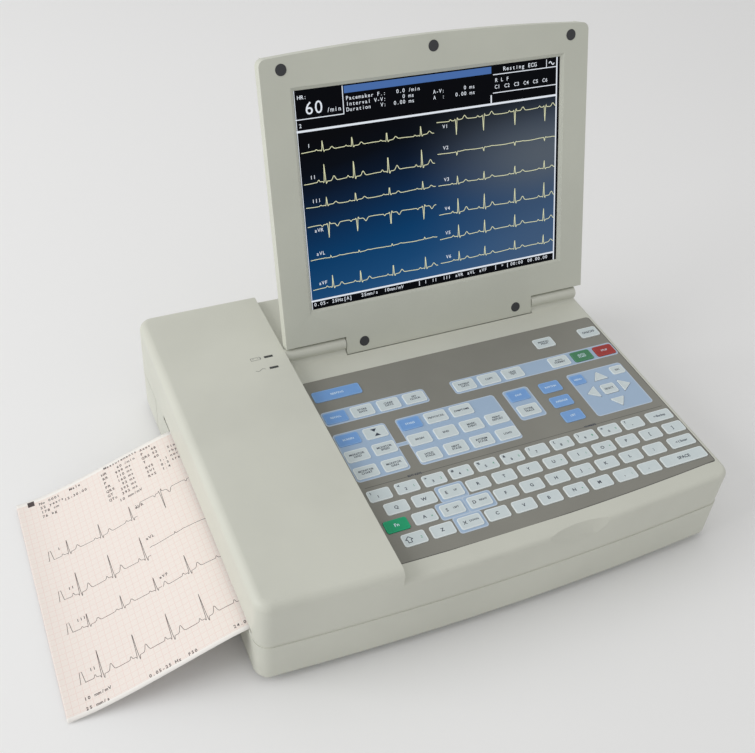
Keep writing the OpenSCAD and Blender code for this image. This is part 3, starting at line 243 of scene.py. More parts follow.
class Shader:
    """A material under construction, with one Principled shader."""

    def __init__(self, name: str) -> None:
        """Starts an empty material.

        Args:
            name: The material's name.
        """
        self.material = bpy.data.materials.new(name)
        self.material.use_nodes = True
        self.tree = self.material.node_tree
        self.tree.nodes.clear()
        self.surface = self.node("ShaderNodeBsdfPrincipled")
        output = self.node("ShaderNodeOutputMaterial")
        self.tree.links.new(self.surface.outputs[0], output.inputs["Surface"])

    def node(self, kind: str, settings: dict[str, Any] | None = None,
             inputs: dict[Any, Any] | None = None) -> bpy.types.Node:
        """Adds a node.

        Args:
            kind: The node's type.
            settings: Its settings, which are set first; stops are a ramp's places and colours.
            inputs: Values or links of its sockets, by name or number.

        Returns:
            The node.
        """
        made = self.tree.nodes.new(kind)
        for key, value in (settings or {}).items():
            if key == "stops":
                ramp = made.color_ramp
                while len(ramp.elements) < len(value):
                    ramp.elements.new(0.5)
                for element, (place, colour) in zip(ramp.elements, value):
                    element.position, element.color = place, colour
            else:
                setattr(made, key, value)
        for key, value in (inputs or {}).items():
            self.feed(made.inputs[key], value)
        return made

    def feed(self, socket: bpy.types.NodeSocket, value: Any) -> None:
        """Links a wire to a socket, or sets the socket's own value.

        Args:
            socket: The input socket.
            value: A wire, a colour or a plain value.
        """
        if isinstance(value, Wire):
            self.tree.links.new(value.socket, socket)
        elif isinstance(value, Tint):
            socket.default_value = value.linear()
        else:
            socket.default_value = value

    def dress(self, **sockets: Any) -> "Shader":
        """Sets the surface's sockets.

        Args:
            sockets: Values by socket; base_color stands for Base Color, and so on.

        Returns:
            The shader itself.
        """
        for key, value in sockets.items():
            words = key.replace("_", " ").title().replace("Ior", "IOR")
            self.feed(self.surface.inputs[words], value)
        return self

    def place(self) -> Wire:
        """Object coordinates, in metres."""
        return Wire(self, self.node("ShaderNodeTexCoord").outputs["Object"])

    def attribute(self, name: str) -> Wire:
        """A value that the mesh holds at each point."""
        return Wire(self, self.node("ShaderNodeAttribute", {"attribute_name": name}).outputs["Fac"])

    def along(self, place: Wire, direction: Sequence[float], start: float = 0.0) -> Wire:
        """How far a place lies along a direction, less start.

        Args:
            place: Coordinates.
            direction: A unit vector.
            start: The distance that counts as zero.

        Returns:
            The distance in metres.
        """
        dot = self.node("ShaderNodeVectorMath", {"operation": "DOT_PRODUCT"},
                        {0: place, 1: tuple(direction)})
        return Wire(self, dot.outputs["Value"]) - start

    def stretched(self, place: Wire, scale: Sequence[float]) -> Wire:
        """Coordinates times a scale along each axis."""
        node = self.node("ShaderNodeVectorMath", {"operation": "MULTIPLY"}, {0: place, 1: tuple(scale)})
        return Wire(self, node.outputs[0])

    def noise(self, place: Wire, size: float, detail: float) -> Wire:
        """Clouds of about the given size in metres, around 0.5."""
        node = self.node("ShaderNodeTexNoise", {"noise_dimensions": "3D"},
                         {"Vector": place, "Scale": 1.0 / size, "Detail": detail, "Roughness": 0.55})
        return Wire(self, node.outputs["Fac"])

    def cells(self, place: Wire, size: float, feature: str) -> Wire:
        """Distance in a pattern of cells of about the given size in metres."""
        node = self.node("ShaderNodeTexVoronoi", {"feature": feature},
                         {"Vector": place, "Scale": 1.0 / size})
        return Wire(self, node.outputs["Distance"])

    def mix(self, share: Any, first: Any, second: Any) -> Wire:
        """The first colour where share is 0, the second where it is 1."""
        node = self.node("ShaderNodeMix", {"data_type": "RGBA"}, {0: share, 6: first, 7: second})
        return Wire(self, node.outputs[2])

    def bump(self, height: Wire, strength: float, distance: float) -> Wire:
        """A normal that follows a height.

        Args:
            height: The height, from 0 to 1.
            strength: How strongly the light follows it.
            distance: The depth in metres of a height of 1.

        Returns:
            The normal.
        """
        node = self.node("ShaderNodeBump", None,
                         {"Height": height, "Strength": strength, "Distance": distance})
        return Wire(self, node.outputs[0])


@dataclass(frozen=True)
class MouldedPlastic:
    """Injection-moulded plastic with a fine spark-eroded grain."""

    name: str
    tint: Tint
    roughness: float = 0.46
    grain: float = 0.35
    depth: float = 0.02
    cloud: float = 90.0
    handled: float = 22.0

    def make(self) -> bpy.types.Material:
        """Makes the material: a faint cloudiness of colour, a grain in bump and roughness, handled spots.

        Returns:
            The material.
        """
        s = Shader(self.name)
        at = s.place()
        cloud = s.noise(at, self.cloud * MM, 3.0)
        grain = s.noise(at, self.grain * MM, 1.0)
        handled = s.noise(at, self.handled * MM, 4.0).ramp(0.52, 0.8)
        colour = s.mix(cloud.ramp(0.3, 0.7), self.tint.times(0.985), self.tint.times(1.01))
        s.dress(base_color=colour, roughness=self.roughness + (grain - 0.5) * 0.16 - handled * 0.05,
                normal=s.bump(grain, 0.25, self.depth * MM), specular_ior_level=0.4)
        return s.material


@dataclass(frozen=True)
class KeyCap:
    """Embossed membrane key: a printed field inside a border painted paler as a highlight of its raised edge.
    """

    name: str
    cap: Cap
    weave: float = 0.25
    wear: float = 9.0

    def make(self) -> bpy.types.Material:
        """Makes the material: field and painted highlight border by the mesh's own rim value, with a fine
        satin texture.

        Returns:
            The material.
        """
        field_tint, rim_highlight = self.cap.value
        s = Shader(self.name)
        at = s.place()
        weave = s.noise(at, self.weave * MM, 1.0)
        worn = s.noise(at, self.wear * MM, 3.0).ramp(0.45, 0.75)
        # painted highlight: the raised border is coloured paler than the field
        colour = s.mix(s.attribute("rim"), field_tint, rim_highlight)
        colour = s.mix(worn * 0.25, colour, rim_highlight)
        s.dress(base_color=colour, roughness=0.42 + weave * 0.12 - worn * 0.08,
                normal=s.bump(weave, 0.2, 0.00001))
        return s.material


@dataclass(frozen=True)
class PrintInk:
    """Ink printed on keys, housings or paper."""

    name: str
    ink: Ink
    blot: float = 0.6

    def make(self) -> bpy.types.Material:
        """Makes the material: ink whose density varies a little.

        Returns:
            The material.
        """
        s = Shader(self.name)
        density = s.noise(s.place(), self.blot * MM, 2.0)
        colour = s.mix(density.ramp(0.35, 0.7), self.ink.value, self.ink.value.times(1.15))
        s.dress(base_color=colour, roughness=0.55 + density * 0.15)
        return s.material


@dataclass(frozen=True)
class ScreenInk:
    """Lit lines, letters and bars of the screen."""

    name: str
    glow: Glow
    row: float = 0.6
    glass: Tint = Tint(3, 3, 4)

    def make(self) -> bpy.types.Material:
        """Makes the material: light with the faint raster of the display's rows.

        Returns:
            The material.
        """
        s = Shader(self.name)
        row = (s.along(s.place(), Z_AXIS) * (2.0 * math.pi / (self.row * MM))).wave()
        colour = s.mix(row * 0.1 + 0.1, self.glow.value, self.glow.value.times(0.8))
        s.dress(base_color=self.glass, roughness=0.3, emission_color=colour, emission_strength=1.0,
                specular_ior_level=0.04)
        return s.material


@dataclass(frozen=True)
class Metal:
    """Rolled, turned or extruded metal with fine lines along one direction."""

    name: str
    tint: Tint
    roughness: float
    lines: Triple = (1.0, 30.0, 1.0)
    streak: float = 6.0
    stain: float = 18.0

    def make(self) -> bpy.types.Material:
        """Makes the material: drawn-out noise in roughness, colour and bump.

        Returns:
            The material.
        """
        s = Shader(self.name)
        at = s.place()
        streak = s.noise(s.stretched(at, self.lines), self.streak * MM, 4.0)
        stain = s.noise(at, self.stain * MM, 3.0)
        colour = s.mix(stain.ramp(0.4, 0.75), self.tint, self.tint.times(0.88))
        s.dress(base_color=colour, metallic=1.0, roughness=self.roughness + (streak - 0.5) * 0.2,
                normal=s.bump(streak, 0.12, 0.00003))
        return s.material


@dataclass(frozen=True)
class Rubber:
    """Dark moulded or ground rubber."""

    name: str
    tint: Tint
    pit: float = 0.7
    dust: float = 12.0

    def make(self) -> bpy.types.Material:
        """Makes the material: matt, dusty, with a fine pitted surface.

        Returns:
            The material.
        """
        s = Shader(self.name)
        at = s.place()
        pits = s.cells(at, self.pit * MM, "F1")
        dust = s.noise(at, self.dust * MM, 4.0).ramp(0.5, 0.8)
        colour = s.mix(dust * 0.35, self.tint, self.tint.times(1.9))
        s.dress(base_color=colour, roughness=0.82 - dust * 0.06, normal=s.bump(pits, 0.3, 0.00006))
        return s.material


@dataclass(frozen=True)
class CircuitBoard:
    """Solder-masked board with tracks and tinned pads."""

    name: str
    track: float = 6.0
    pad: float = 4.5
    mask: Tint = Tint(22, 78, 44)
    copper: Tint = Tint(48, 118, 66)
    tin: Tint = Tint(196, 198, 192)

    def make(self) -> bpy.types.Material:
        """Makes the material: cell edges as tracks, cell centres as pads.

        Returns:
            The material.
        """
        s = Shader(self.name)
        at = s.place()
        track = 1.0 - s.cells(at, self.track * MM, "DISTANCE_TO_EDGE").ramp(0.02, 0.05)
        pad = 1.0 - s.cells(at, self.pad * MM, "F1").ramp(0.16, 0.2)
        colour = s.mix(pad, s.mix(track, self.mask, self.copper), self.tin)
        s.dress(base_color=colour, metallic=pad, roughness=0.34 + pad * 0.1,
                normal=s.bump(track.most(pad), 0.4, 0.00004))
        return s.material


@dataclass(frozen=True)
class SmokedWindow:
    """Dark gloss window over a lamp that is off."""

    name: str
    mottle: float = 2.0
    dark: Tint = Tint(38, 40, 40)
    pale: Tint = Tint(54, 56, 54)

    def make(self) -> bpy.types.Material:
        """Makes the material: gloss black with a faint mottle and a hard coat.

        Returns:
            The material.
        """
        s = Shader(self.name)
        mottle = s.noise(s.place(), self.mottle * MM, 3.0)
        colour = s.mix(mottle, self.dark, self.pale)
        s.dress(base_color=colour, roughness=0.18 + mottle * 0.06, coat_weight=0.4)
        return s.material


@dataclass(frozen=True)
class ChartPaper:
    """Heat-sensitive chart paper with its pink square grid.

    Lines are given in metres by their pitch, half width and soft edge; printed is where the
    grid ends, from the middle of the sheet.
    """

    name: str
    margin: Tint = Tint(247, 244, 239)
    ground: Tint = Tint(241, 234, 227)
    fine: Tint = Tint(237, 221, 213)
    bold: Tint = Tint(234, 209, 201)
    fine_lines: Triple = (0.001, 0.00006, 0.0001)
    bold_lines: Triple = (0.005, 0.00012, 0.0001)
    half: float = 0.105
    printed: Pair = (0.1012, 0.1018)
    fibre: float = 1.2

    def make(self) -> bpy.types.Material:
        """Makes the material: lines 1 mm and 5 mm apart on the sheet's own coordinates, with paper fibre.

        Returns:
            The material.
        """
        s = Shader(self.name)
        uv = Wire(s, s.node("ShaderNodeUVMap", {"uv_map": "chart"}).outputs["UV"])
        a, b = s.along(uv, X_AXIS), s.along(uv, Y_AXIS)
        fine = a.near(*self.fine_lines).most(b.near(*self.fine_lines))
        bold = a.near(*self.bold_lines).most(b.near(*self.bold_lines))
        inside = 1.0 - abs(b - self.half).ramp(*self.printed)
        fibre = s.noise(s.place(), self.fibre * MM, 4.0)
        ground = s.mix(fibre.ramp(0.35, 0.7), self.ground, self.ground.times(0.985))
        colour = s.mix(inside, self.margin, ground)
        colour = s.mix(fine * inside * 0.75, colour, self.fine)
        colour = s.mix(bold * inside * 0.85, colour, self.bold)
        s.dress(base_color=colour, roughness=0.62 + fibre * 0.16, normal=s.bump(fibre, 0.2, 0.00003))
        return s.material


@dataclass(frozen=True)
class FoldedLeaves:
    """Edges of a stack of folded chart paper."""

    name: str
    leaves: Triple = (0.0004, 0.00004, 0.00008)
    slip: float = 30.0
    paper: Tint = Tint(246, 236, 230)
    # colour of the painted shade in the gaps between the leaves
    gap: Tint = Tint(205, 188, 182)
    blush: Tint = Tint(238, 214, 206)

    def make(self) -> bpy.types.Material:
        """Makes the material: fine lines of painted shade in the gaps between the leaves, seen from the side.

        Returns:
            The material.
        """
        s = Shader(self.name)
        at = s.place()
        leaf_gap_shade = s.along(at, Z_AXIS).near(*self.leaves)
        slip = s.noise(s.stretched(at, (1.0, 1.0, 40.0)), self.slip * MM, 2.0)
        # painted shade: the gaps between leaves are darkened in the colour
        colour = s.mix(leaf_gap_shade * 0.55, self.paper, self.gap)
        s.dress(base_color=s.mix(slip * 0.2, colour, self.blush), roughness=0.8,
                normal=s.bump(leaf_gap_shade, 0.5, 0.00008))
        return s.material


@dataclass(frozen=True)
class WorkPlane:
    """A flat working plane in space: where it starts and its three directions."""

    start: Triple
    across: Triple
    up: Triple
    out: Triple

    def put(self, points: Array) -> Array:
        """Plane coordinates in millimetres, as rows, turned to metres in space."""
        axes = np.array([self.across, self.up, self.out])
        return (np.asarray(self.start) + points @ axes) * MM


def tilted_plane(start: Triple, turn: float) -> WorkPlane:
    """A plane turned about X from the table.

    Args:
        start: The plane's zero point in millimetres.
        turn: Its turn from level, in degrees.

    Returns:
        The plane.
    """
    c, s = math.cos(math.radians(turn)), math.sin(math.radians(turn))
    return WorkPlane(start, X_AXIS, (0.0, c, s), (0.0, -s, c))


@dataclass
class Patch:
    """Points, faces and a border value for each point, which will become part of a mesh."""

    points: Array
    faces: list[Array]
    material: int = 0
    rim: Array | None = None


def loft(rings: Array, material: int = 0, rim: Array | None = None) -> Patch:
    """Joins closed rings of points into a closed skin.

    A point is ring i, place j; each quad joins places j and j + 1 of rings i and i + 1,
    and a fan to the mean point closes each end.

    Args:
        rings: Points, shaped (rings, places, 3), counter-clockwise seen from the last ring.
        material: Index of the material.
        rim: A value for each ring.

    Returns:
        The skin.
    """
    count, places = rings.shape[:2]
    j = np.arange(places)
    i = np.arange(count - 1)[:, None] * places
    k = (j + 1) % places
    quads = np.stack([i + j, i + k, i + k + places, i + j + places], axis=-1).reshape(-1, 4)
    low, high = count * places, count * places + 1
    last = (count - 1) * places
    fans = np.concatenate([np.stack([np.full(places, low), k, j], axis=-1),
                           np.stack([np.full(places, high), last + j, last + k], axis=-1)])
    points = np.concatenate([rings.reshape(-1, 3), rings[:1].mean(axis=1), rings[-1:].mean(axis=1)])
    value = None if rim is None else np.concatenate([np.repeat(rim, places), rim[:1], rim[-1:]])
    return Patch(points, [quads, fans], material, value)


def loop(corners: Array, radius: float, steps: int = 5) -> Array:
    """A closed polygon with rounded corners.

    Each corner is an arc of the radius, tangent to both its sides: its middle lies on the
    bisector, at radius / sin(half angle), and its ends radius / tan(half angle) along them.

    Args:
        corners: The corners in order, counter-clockwise, shaped (n, 2).
        radius: The corners' radius.
        steps: Points on each arc.

    Returns:
        Points shaped (n * steps, 2).
    """
    before, after = np.roll(corners, 1, axis=0) - corners, np.roll(corners, -1, axis=0) - corners
    before = before / np.linalg.norm(before, axis=1, keepdims=True)
    after = after / np.linalg.norm(after, axis=1, keepdims=True)
    half = np.arccos(np.clip((before * after).sum(axis=1), -1, 1)) / 2
    bisect = before + after
    bisect = bisect / np.linalg.norm(bisect, axis=1, keepdims=True)
    middle = corners + bisect * (radius / np.sin(half))[:, None]
    first = corners + before * (radius / np.tan(half))[:, None] - middle
    turn = (np.pi - 2 * half)[:, None] * np.linspace(0, 1, steps)[None, :]
    c, s = np.cos(turn), np.sin(turn)
    x = first[:, :1] * c - first[:, 1:] * s + middle[:, :1]
    y = first[:, :1] * s + first[:, 1:] * c + middle[:, 1:]
    return np.stack([x, y], axis=-1).reshape(-1, 2)


def grid_faces(rows: int, places: int) -> Array:
    """Quads of a grid whose point in row i, place j has the number i * places + j."""
    i = (np.arange(rows - 1)[:, None] * places + np.arange(places - 1)[None, :]).reshape(-1)
    return np.stack([i, i + places, i + places + 1, i + 1], axis=-1)


def raised(outlines: Array, high: Array) -> Array:
    """Rings of points from flat outlines, shaped (rings, places, 2), and the height of each."""
    level = np.broadcast_to(high[:, None, None], outlines.shape[:2] + (1,))
    return np.concatenate([outlines, level], axis=-1)


def rotated(points: Array, turn: float) -> Array:
    """Flat points turned about zero by an angle in degrees, counter-clockwise."""
    c, s = math.cos(math.radians(turn)), math.sin(math.radians(turn))
    return points @ np.array([[c, s], [-s, c]])


def outlined(corners: Array, steps: int) -> Array:
    """A path along straight lines from corner to corner, with so many points on each."""
    return np.linspace(corners[:-1], corners[1:], steps, axis=1).reshape(-1, 2)


def ribbon(path: Array, width: float, lift: float, thick: float = INK_THICK, material: int = 0) -> Patch:
    """A flat line with a thickness, drawn along a path in a plane.

    The cross-section is a rectangle, width across the path and thick out of the plane,
    carried along the path square to its direction.

    Args:
        path: Points shaped (n, 2).
        width: The line's width.
        lift: Height of its underside over the plane.
        thick: Its thickness.
        material: Index of the material.

    Returns:
        The line.
    """
    way = np.gradient(path, axis=0)
    way = way / np.maximum(np.linalg.norm(way, axis=1, keepdims=True), 1e-9)
    side = np.stack([-way[:, 1], way[:, 0]], axis=-1) * width / 2
    flat = np.stack([path - side, path + side, path + side, path - side], axis=1)
    high = np.broadcast_to(np.array([0, 0, thick, thick]) + lift, flat.shape[:2])
    return loft(np.concatenate([flat, high[..., None]], axis=-1), material)


def slab(low: Sequence[float], high: Sequence[float], lift: float, thick: float = 0.02,
         material: int = 0) -> Patch:
    """A flat rectangle with a thickness, from its lower left to its upper right corner.

    It is a ribbon along the rectangle's middle line.

    Args:
        low: The lower left corner.
        high: The upper right corner.
        lift: Height of its underside over the plane.
        thick: Its thickness.
        material: Index of the material.

    Returns:
        The rectangle.
    """
    middle = (low[1] + high[1]) / 2
    path = np.array([[low[0], middle], [(low[0] + high[0]) / 2, middle], [high[0], middle]])
    return ribbon(path, high[1] - low[1], lift, thick, material)


def blade(corners: Array, lift: float, thick: float = INK_THICK, material: int = 0) -> Patch:
    """A flat polygon with a thickness: its corners, counter-clockwise, carried up by the thickness."""
    return loft(raised(np.stack([corners, corners]), np.array([lift, lift + thick])), material)


def linked(name: str, data: bpy.types.ID) -> bpy.types.Object:
    """Puts a new object into the scene.

    Args:
        name: Its name.
        data: The mesh, words, lamp or camera that it holds.

    Returns:
        The object.
    """
    made = bpy.data.objects.new(name, data)
    bpy.context.scene.collection.objects.link(made)
    return made


class Lettering:
    """Turns words into thin closed letters through the built-in font."""

    LINE_SPACE = 0.92
    LINE_STEP = 1.36
    FILLED = 0.9

    def __init__(self) -> None:
        """Starts with no words made."""
        self.made: dict[tuple[str, float], tuple[Array, Array]] = {}

    def _letters(self, words: str, bold: float) -> tuple[Array, Array]:
        """Makes words at a size of 1 and one unit thick.

        Args:
            words: The words.
            bold: How far their strokes are fattened.

        Returns:
            Their points and triangles.
        """
        curve = bpy.data.curves.new("words", "FONT")
        curve.body, curve.align_x, curve.align_y = words, "CENTER", "CENTER"
        curve.extrude, curve.resolution_u, curve.space_line = 0.5, 3, self.LINE_SPACE
        curve.offset = bold
        holder = linked("words", curve)
        graph = bpy.context.evaluated_depsgraph_get()
        mesh = bpy.data.meshes.new_from_object(holder.evaluated_get(graph))
        mesh.calc_loop_triangles()
        points = np.zeros(len(mesh.vertices) * 3)
        mesh.vertices.foreach_get("co", points)
        triangles = np.zeros(len(mesh.loop_triangles) * 3, dtype=np.int32)
        mesh.loop_triangles.foreach_get("vertices", triangles)
        bpy.data.objects.remove(holder)
        bpy.data.meshes.remove(mesh)
        bpy.data.curves.remove(curve)
        return points.reshape(-1, 3), triangles.reshape(-1, 3)

    def patch(self, words: str, at: Pair, size: float, lift: float, material: int = 0,
              thick: float = INK_THICK, bold: float = 0.0) -> Patch:
        """Words lying in a plane.

        Args:
            words: The words; a line break starts a new line.
            at: Where their middle lies.
            size: The letters' size.
            lift: Height of their underside over the plane.
            material: Index of the material.
            thick: Their thickness.
            bold: How far their strokes are fattened, as a share of their size.

        Returns:
            The letters.
        """
        key = (words, bold)
        if key not in self.made:
            self.made[key] = self._letters(*key)
        points, triangles = self.made[key]
        placed = points * np.array([size, size, thick]) + np.array([at[0], at[1], lift + thick / 2])
        return Patch(placed, [triangles], material)

    def spaced(self, words: str, at: Pair, size: float, pitch: float, lift: float,
               bold: float = 0.0) -> list[Patch]:
        """Words whose letters all take the same room, as on a display or from a line printer.

        Args:
            words: The words; a line break starts a new line, LINE_STEP sizes below.
            at: Where their left end lies, half-way up.
            size: The letters' size.
            pitch: The room of a letter; a wider one is narrowed to the share FILLED of it.
            lift: Height of their underside over the plane.
            bold: How far their strokes are fattened, as a share of their size.

        Returns:
            The letters.
        """
        out = []
        lines = words.split("\n")
        for row, line in enumerate(lines):
            y = at[1] - self.LINE_STEP * size * (row - (len(lines) - 1) / 2)
            for place, letter in enumerate(line):
                if letter != " ":
                    x = at[0] + pitch * (place + 0.5)
                    made = self.patch(letter, (0.0, y), size, lift, bold=bold)
                    narrow = min(1.0, self.FILLED * pitch / float(np.ptp(made.points[:, 0])))
                    made.points = made.points * np.array([narrow, 1.0, 1.0]) + np.array([x, 0.0, 0.0])
                    out.append(made)
        return out


class Workshop:
    """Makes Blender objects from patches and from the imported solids."""

    PIECE_ANGLE = 35.0
    SOLID_ANGLE = 30.0
    BEVEL_ANGLE = 50.0
    FLAT_ANGLE = 0.4
    MERGE_GAP = 0.000004

    def __init__(self, frame: dict[str, Any]) -> None:
        """Keeps the loaded frame and its materials.

        Args:
            frame: What the frame's load call returned.
        """
        self.frame = frame
        self.body_of = {n: b for b, ns in frame["record"]["behaviour"]["bodies"].items() for n in ns}
        self.slot_of = {p["node"]: p["material_slot"] for p in frame["record"]["subparts"]}
        self.finishes: dict[str, bpy.types.Material] = {}
        self.letters = Lettering()

    def finish(self, made: Any) -> bpy.types.Material:
        """Makes a finish's material at its first use.

        Args:
            made: The finish.

        Returns:
            The material.
        """
        if made.name not in self.finishes:
            self.finishes[made.name] = made.make()
        return self.finishes[made.name]

    def piece(self, name: str, patches: Sequence[Patch], finishes: Sequence[Any], body: str, slot: str,
              shape: Any = None) -> bpy.types.Object:
        """Makes a piece from patches and lets it ride on a body.

        Args:
            name: The piece's name.
            patches: Its parts, in millimetres.
            finishes: Its finishes, in the order of the patches' material numbers.
            body: The body that it moves with.
            slot: The record's material slot; not used.
            shape: What turns plane coordinates to metres in space, with a put method.

        Returns:
            The object.
        """
        points, faces, numbers, rims, start = [], [], [], [], 0
        for patch in patches:
            points.append(patch.points)
            rims.append(np.zeros(len(patch.points)) if patch.rim is None else patch.rim)
            for group in patch.faces:
                faces += (group + start).tolist()
                numbers.append(np.full(len(group), patch.material))
            start += len(patch.points)
        flat = np.concatenate(points)
        space = flat * MM if shape is None else shape.put(flat)
        mesh = bpy.data.meshes.new(name)
        mesh.from_pydata(space.tolist(), [], faces)
        mesh.polygons.foreach_set("material_index", np.concatenate(numbers).astype(np.int32))
        rim = mesh.attributes.new("rim", "FLOAT", "POINT")
        rim.data.foreach_set("value", np.concatenate(rims).astype(np.float32))
        for one in finishes:
            mesh.materials.append(self.finish(one))
        self.smooth(mesh, self.PIECE_ANGLE)
        made = linked(name, mesh)
        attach(made, body)
        LOG.info("%s: %d points on %s", name, len(flat), body)
        return made

    @staticmethod
    def smooth(mesh: bpy.types.Mesh, angle: float) -> None:
        """Shades a mesh smooth, except across sharp edges.

        Args:
            mesh: The mesh.
            angle: The angle in degrees from which an edge is sharp.
        """
        mesh.polygons.foreach_set("use_smooth", np.ones(len(mesh.polygons), dtype=bool))
        mesh.set_sharp_from_angle(angle=math.radians(angle))
        mesh.update()

    def moulding(self, node: str, name: str, made: Any, edge: float) -> bpy.types.Object:
        """A merged copy of a solid with softened edges, which stands for it.

        Args:
            node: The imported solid.
            name: The piece's name.
            made: Its finish.
            edge: Width in millimetres of the softened edges, or 0.

        Returns:
            The object.
        """
        mesh = self.frame["nodes"][node].data.copy()
        mesh.name = name
        work = bmesh.new()
        work.from_mesh(mesh)
        bmesh.ops.remove_doubles(work, verts=work.verts, dist=self.MERGE_GAP)
        bmesh.ops.dissolve_limit(work, angle_limit=math.radians(self.FLAT_ANGLE), verts=work.verts,
                                 edges=work.edges)
        work.to_mesh(mesh)
        work.free()
        mesh.materials.clear()
        mesh.materials.append(self.finish(made))
        mesh.polygons.foreach_set("material_index", np.zeros(len(mesh.polygons), dtype=np.int32))
        self.smooth(mesh, self.SOLID_ANGLE)
        copy = linked(name, mesh)
        if edge > 0:
            bevel = copy.modifiers.new("soft_edges", "BEVEL")
            bevel.width, bevel.segments = edge * MM, 2
            bevel.limit_method, bevel.angle_limit = "ANGLE", math.radians(self.BEVEL_ANGLE)
            even = copy.modifiers.new("even_normals", "WEIGHTED_NORMAL")
            even.keep_sharp, even.weight = True, 100
        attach(copy, self.body_of[node])
        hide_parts(node)
        LOG.info("%s: copy of %s", name, node)
        return copy

    def paint(self, finish: Any, *nodes: str) -> None:
        """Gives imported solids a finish.

        Args:
            finish: The finish.
            nodes: The solids.
        """
        for node in nodes:
            data = self.frame["nodes"][node].data
            data.materials.clear()
            data.materials.append(self.finish(finish))
            LOG.info("%s: %s", node, finish.name)


@dataclass(frozen=True)
class Panel:
    """A printed rectangle on the keyboard sheet, in the keyboard plane."""

    left: float
    right: float
    front: float
    rear: float
    round: float = 3.0


@dataclass(frozen=True)
class KeyboardSheet:
    """Printed membrane: a grey-brown ground with pale blue panels, a fine line behind the letter keys and a
    dark line along its front and side edges.

    Edge is its left and right side, bow the middle and the radius of its front edge, and
    rule the middle, the half length and the place of the line behind the letter keys.
    """

    name: str
    height: float
    slope: float
    panels: tuple[Panel, ...]
    edge: Pair = (-90.5, 195.5)
    bow: Pair = (2499.48, 2648.48)
    rule: Triple = (53.0, 138.0, -72.8)
    ground: Tint = Tint(133, 132, 124)
    panel: Tint = Tint(164, 187, 212)
    border: Tint = Tint(190, 205, 222)
    line: Tint = Tint(78, 77, 73)
    weave: float = 0.3
    cloud: float = 50.0

    def inside(self, x: Wire, s: Wire, p: Panel) -> Wire:
        """Distance to a rounded rectangle, negative inside.

        It is the length of the part of (|x - middle| - half + round) that is above zero,
        plus its larger entry where both are below zero, less round.

        Args:
            x: Distance to the right.
            s: Distance up the keyboard.
            p: The rectangle.

        Returns:
            The distance in metres.
        """
        dx = abs(x - (p.left + p.right) / 2 * MM) - ((p.right - p.left) / 2 - p.round) * MM
        ds = abs(s - (p.front + p.rear) / 2 * MM) - ((p.rear - p.front) / 2 - p.round) * MM
        over_x, over_s = dx.most(0.0), ds.most(0.0)
        return (over_x * over_x + over_s * over_s).root() + dx.most(ds).least(0.0) - p.round * MM

    def make(self) -> bpy.types.Material:
        """Makes the material: the least distance to any panel gives its field and its border.

        Returns:
            The material.
        """
        s = Shader(self.name)
        at = s.place()
        c, t = math.cos(math.radians(self.slope)), math.sin(math.radians(self.slope))
        x = s.along(at, X_AXIS)
        up = s.along(at, (0.0, c, t), self.height * t * MM)
        gap = self.inside(x, up, self.panels[0])
        for one in self.panels[1:]:
            gap = gap.least(self.inside(x, up, one))
        field_share = 1.0 - gap.ramp(-0.0001, 0.0001)
        border_share = field_share * gap.ramp(-0.0011, -0.0006)
        middle, reach, place = (v * MM for v in self.rule)
        rule = 1.0 - abs(up - place).ramp(0.0001, 0.0003)
        rule = rule * (1.0 - abs(x - middle).ramp(reach, reach + 0.0005))
        # a dark line within a millimetre of the sheet's front and side edges
        away = up - self.bow[0] * MM
        rim = ((x * x + away * away).root() - self.bow[1] * MM).ramp(-0.001, -0.0006)
        half = (self.edge[1] - self.edge[0]) / 2 * MM
        rim = rim.most(abs(x - sum(self.edge) / 2 * MM).ramp(half - 0.0008, half - 0.0004))
        weave = s.noise(at, self.weave * MM, 1.0)
        cloud = s.noise(at, self.cloud * MM, 3.0)
        colour = s.mix(cloud.ramp(0.3, 0.7), self.ground, self.ground.times(1.03))
        colour = s.mix(rule.most(rim), colour, self.line)
        colour = s.mix(field_share, colour, self.panel)
        colour = s.mix(border_share, colour, self.border)
        s.dress(base_color=colour, roughness=0.44 + weave * 0.12, normal=s.bump(weave, 0.2, 0.00001))
        return s.material


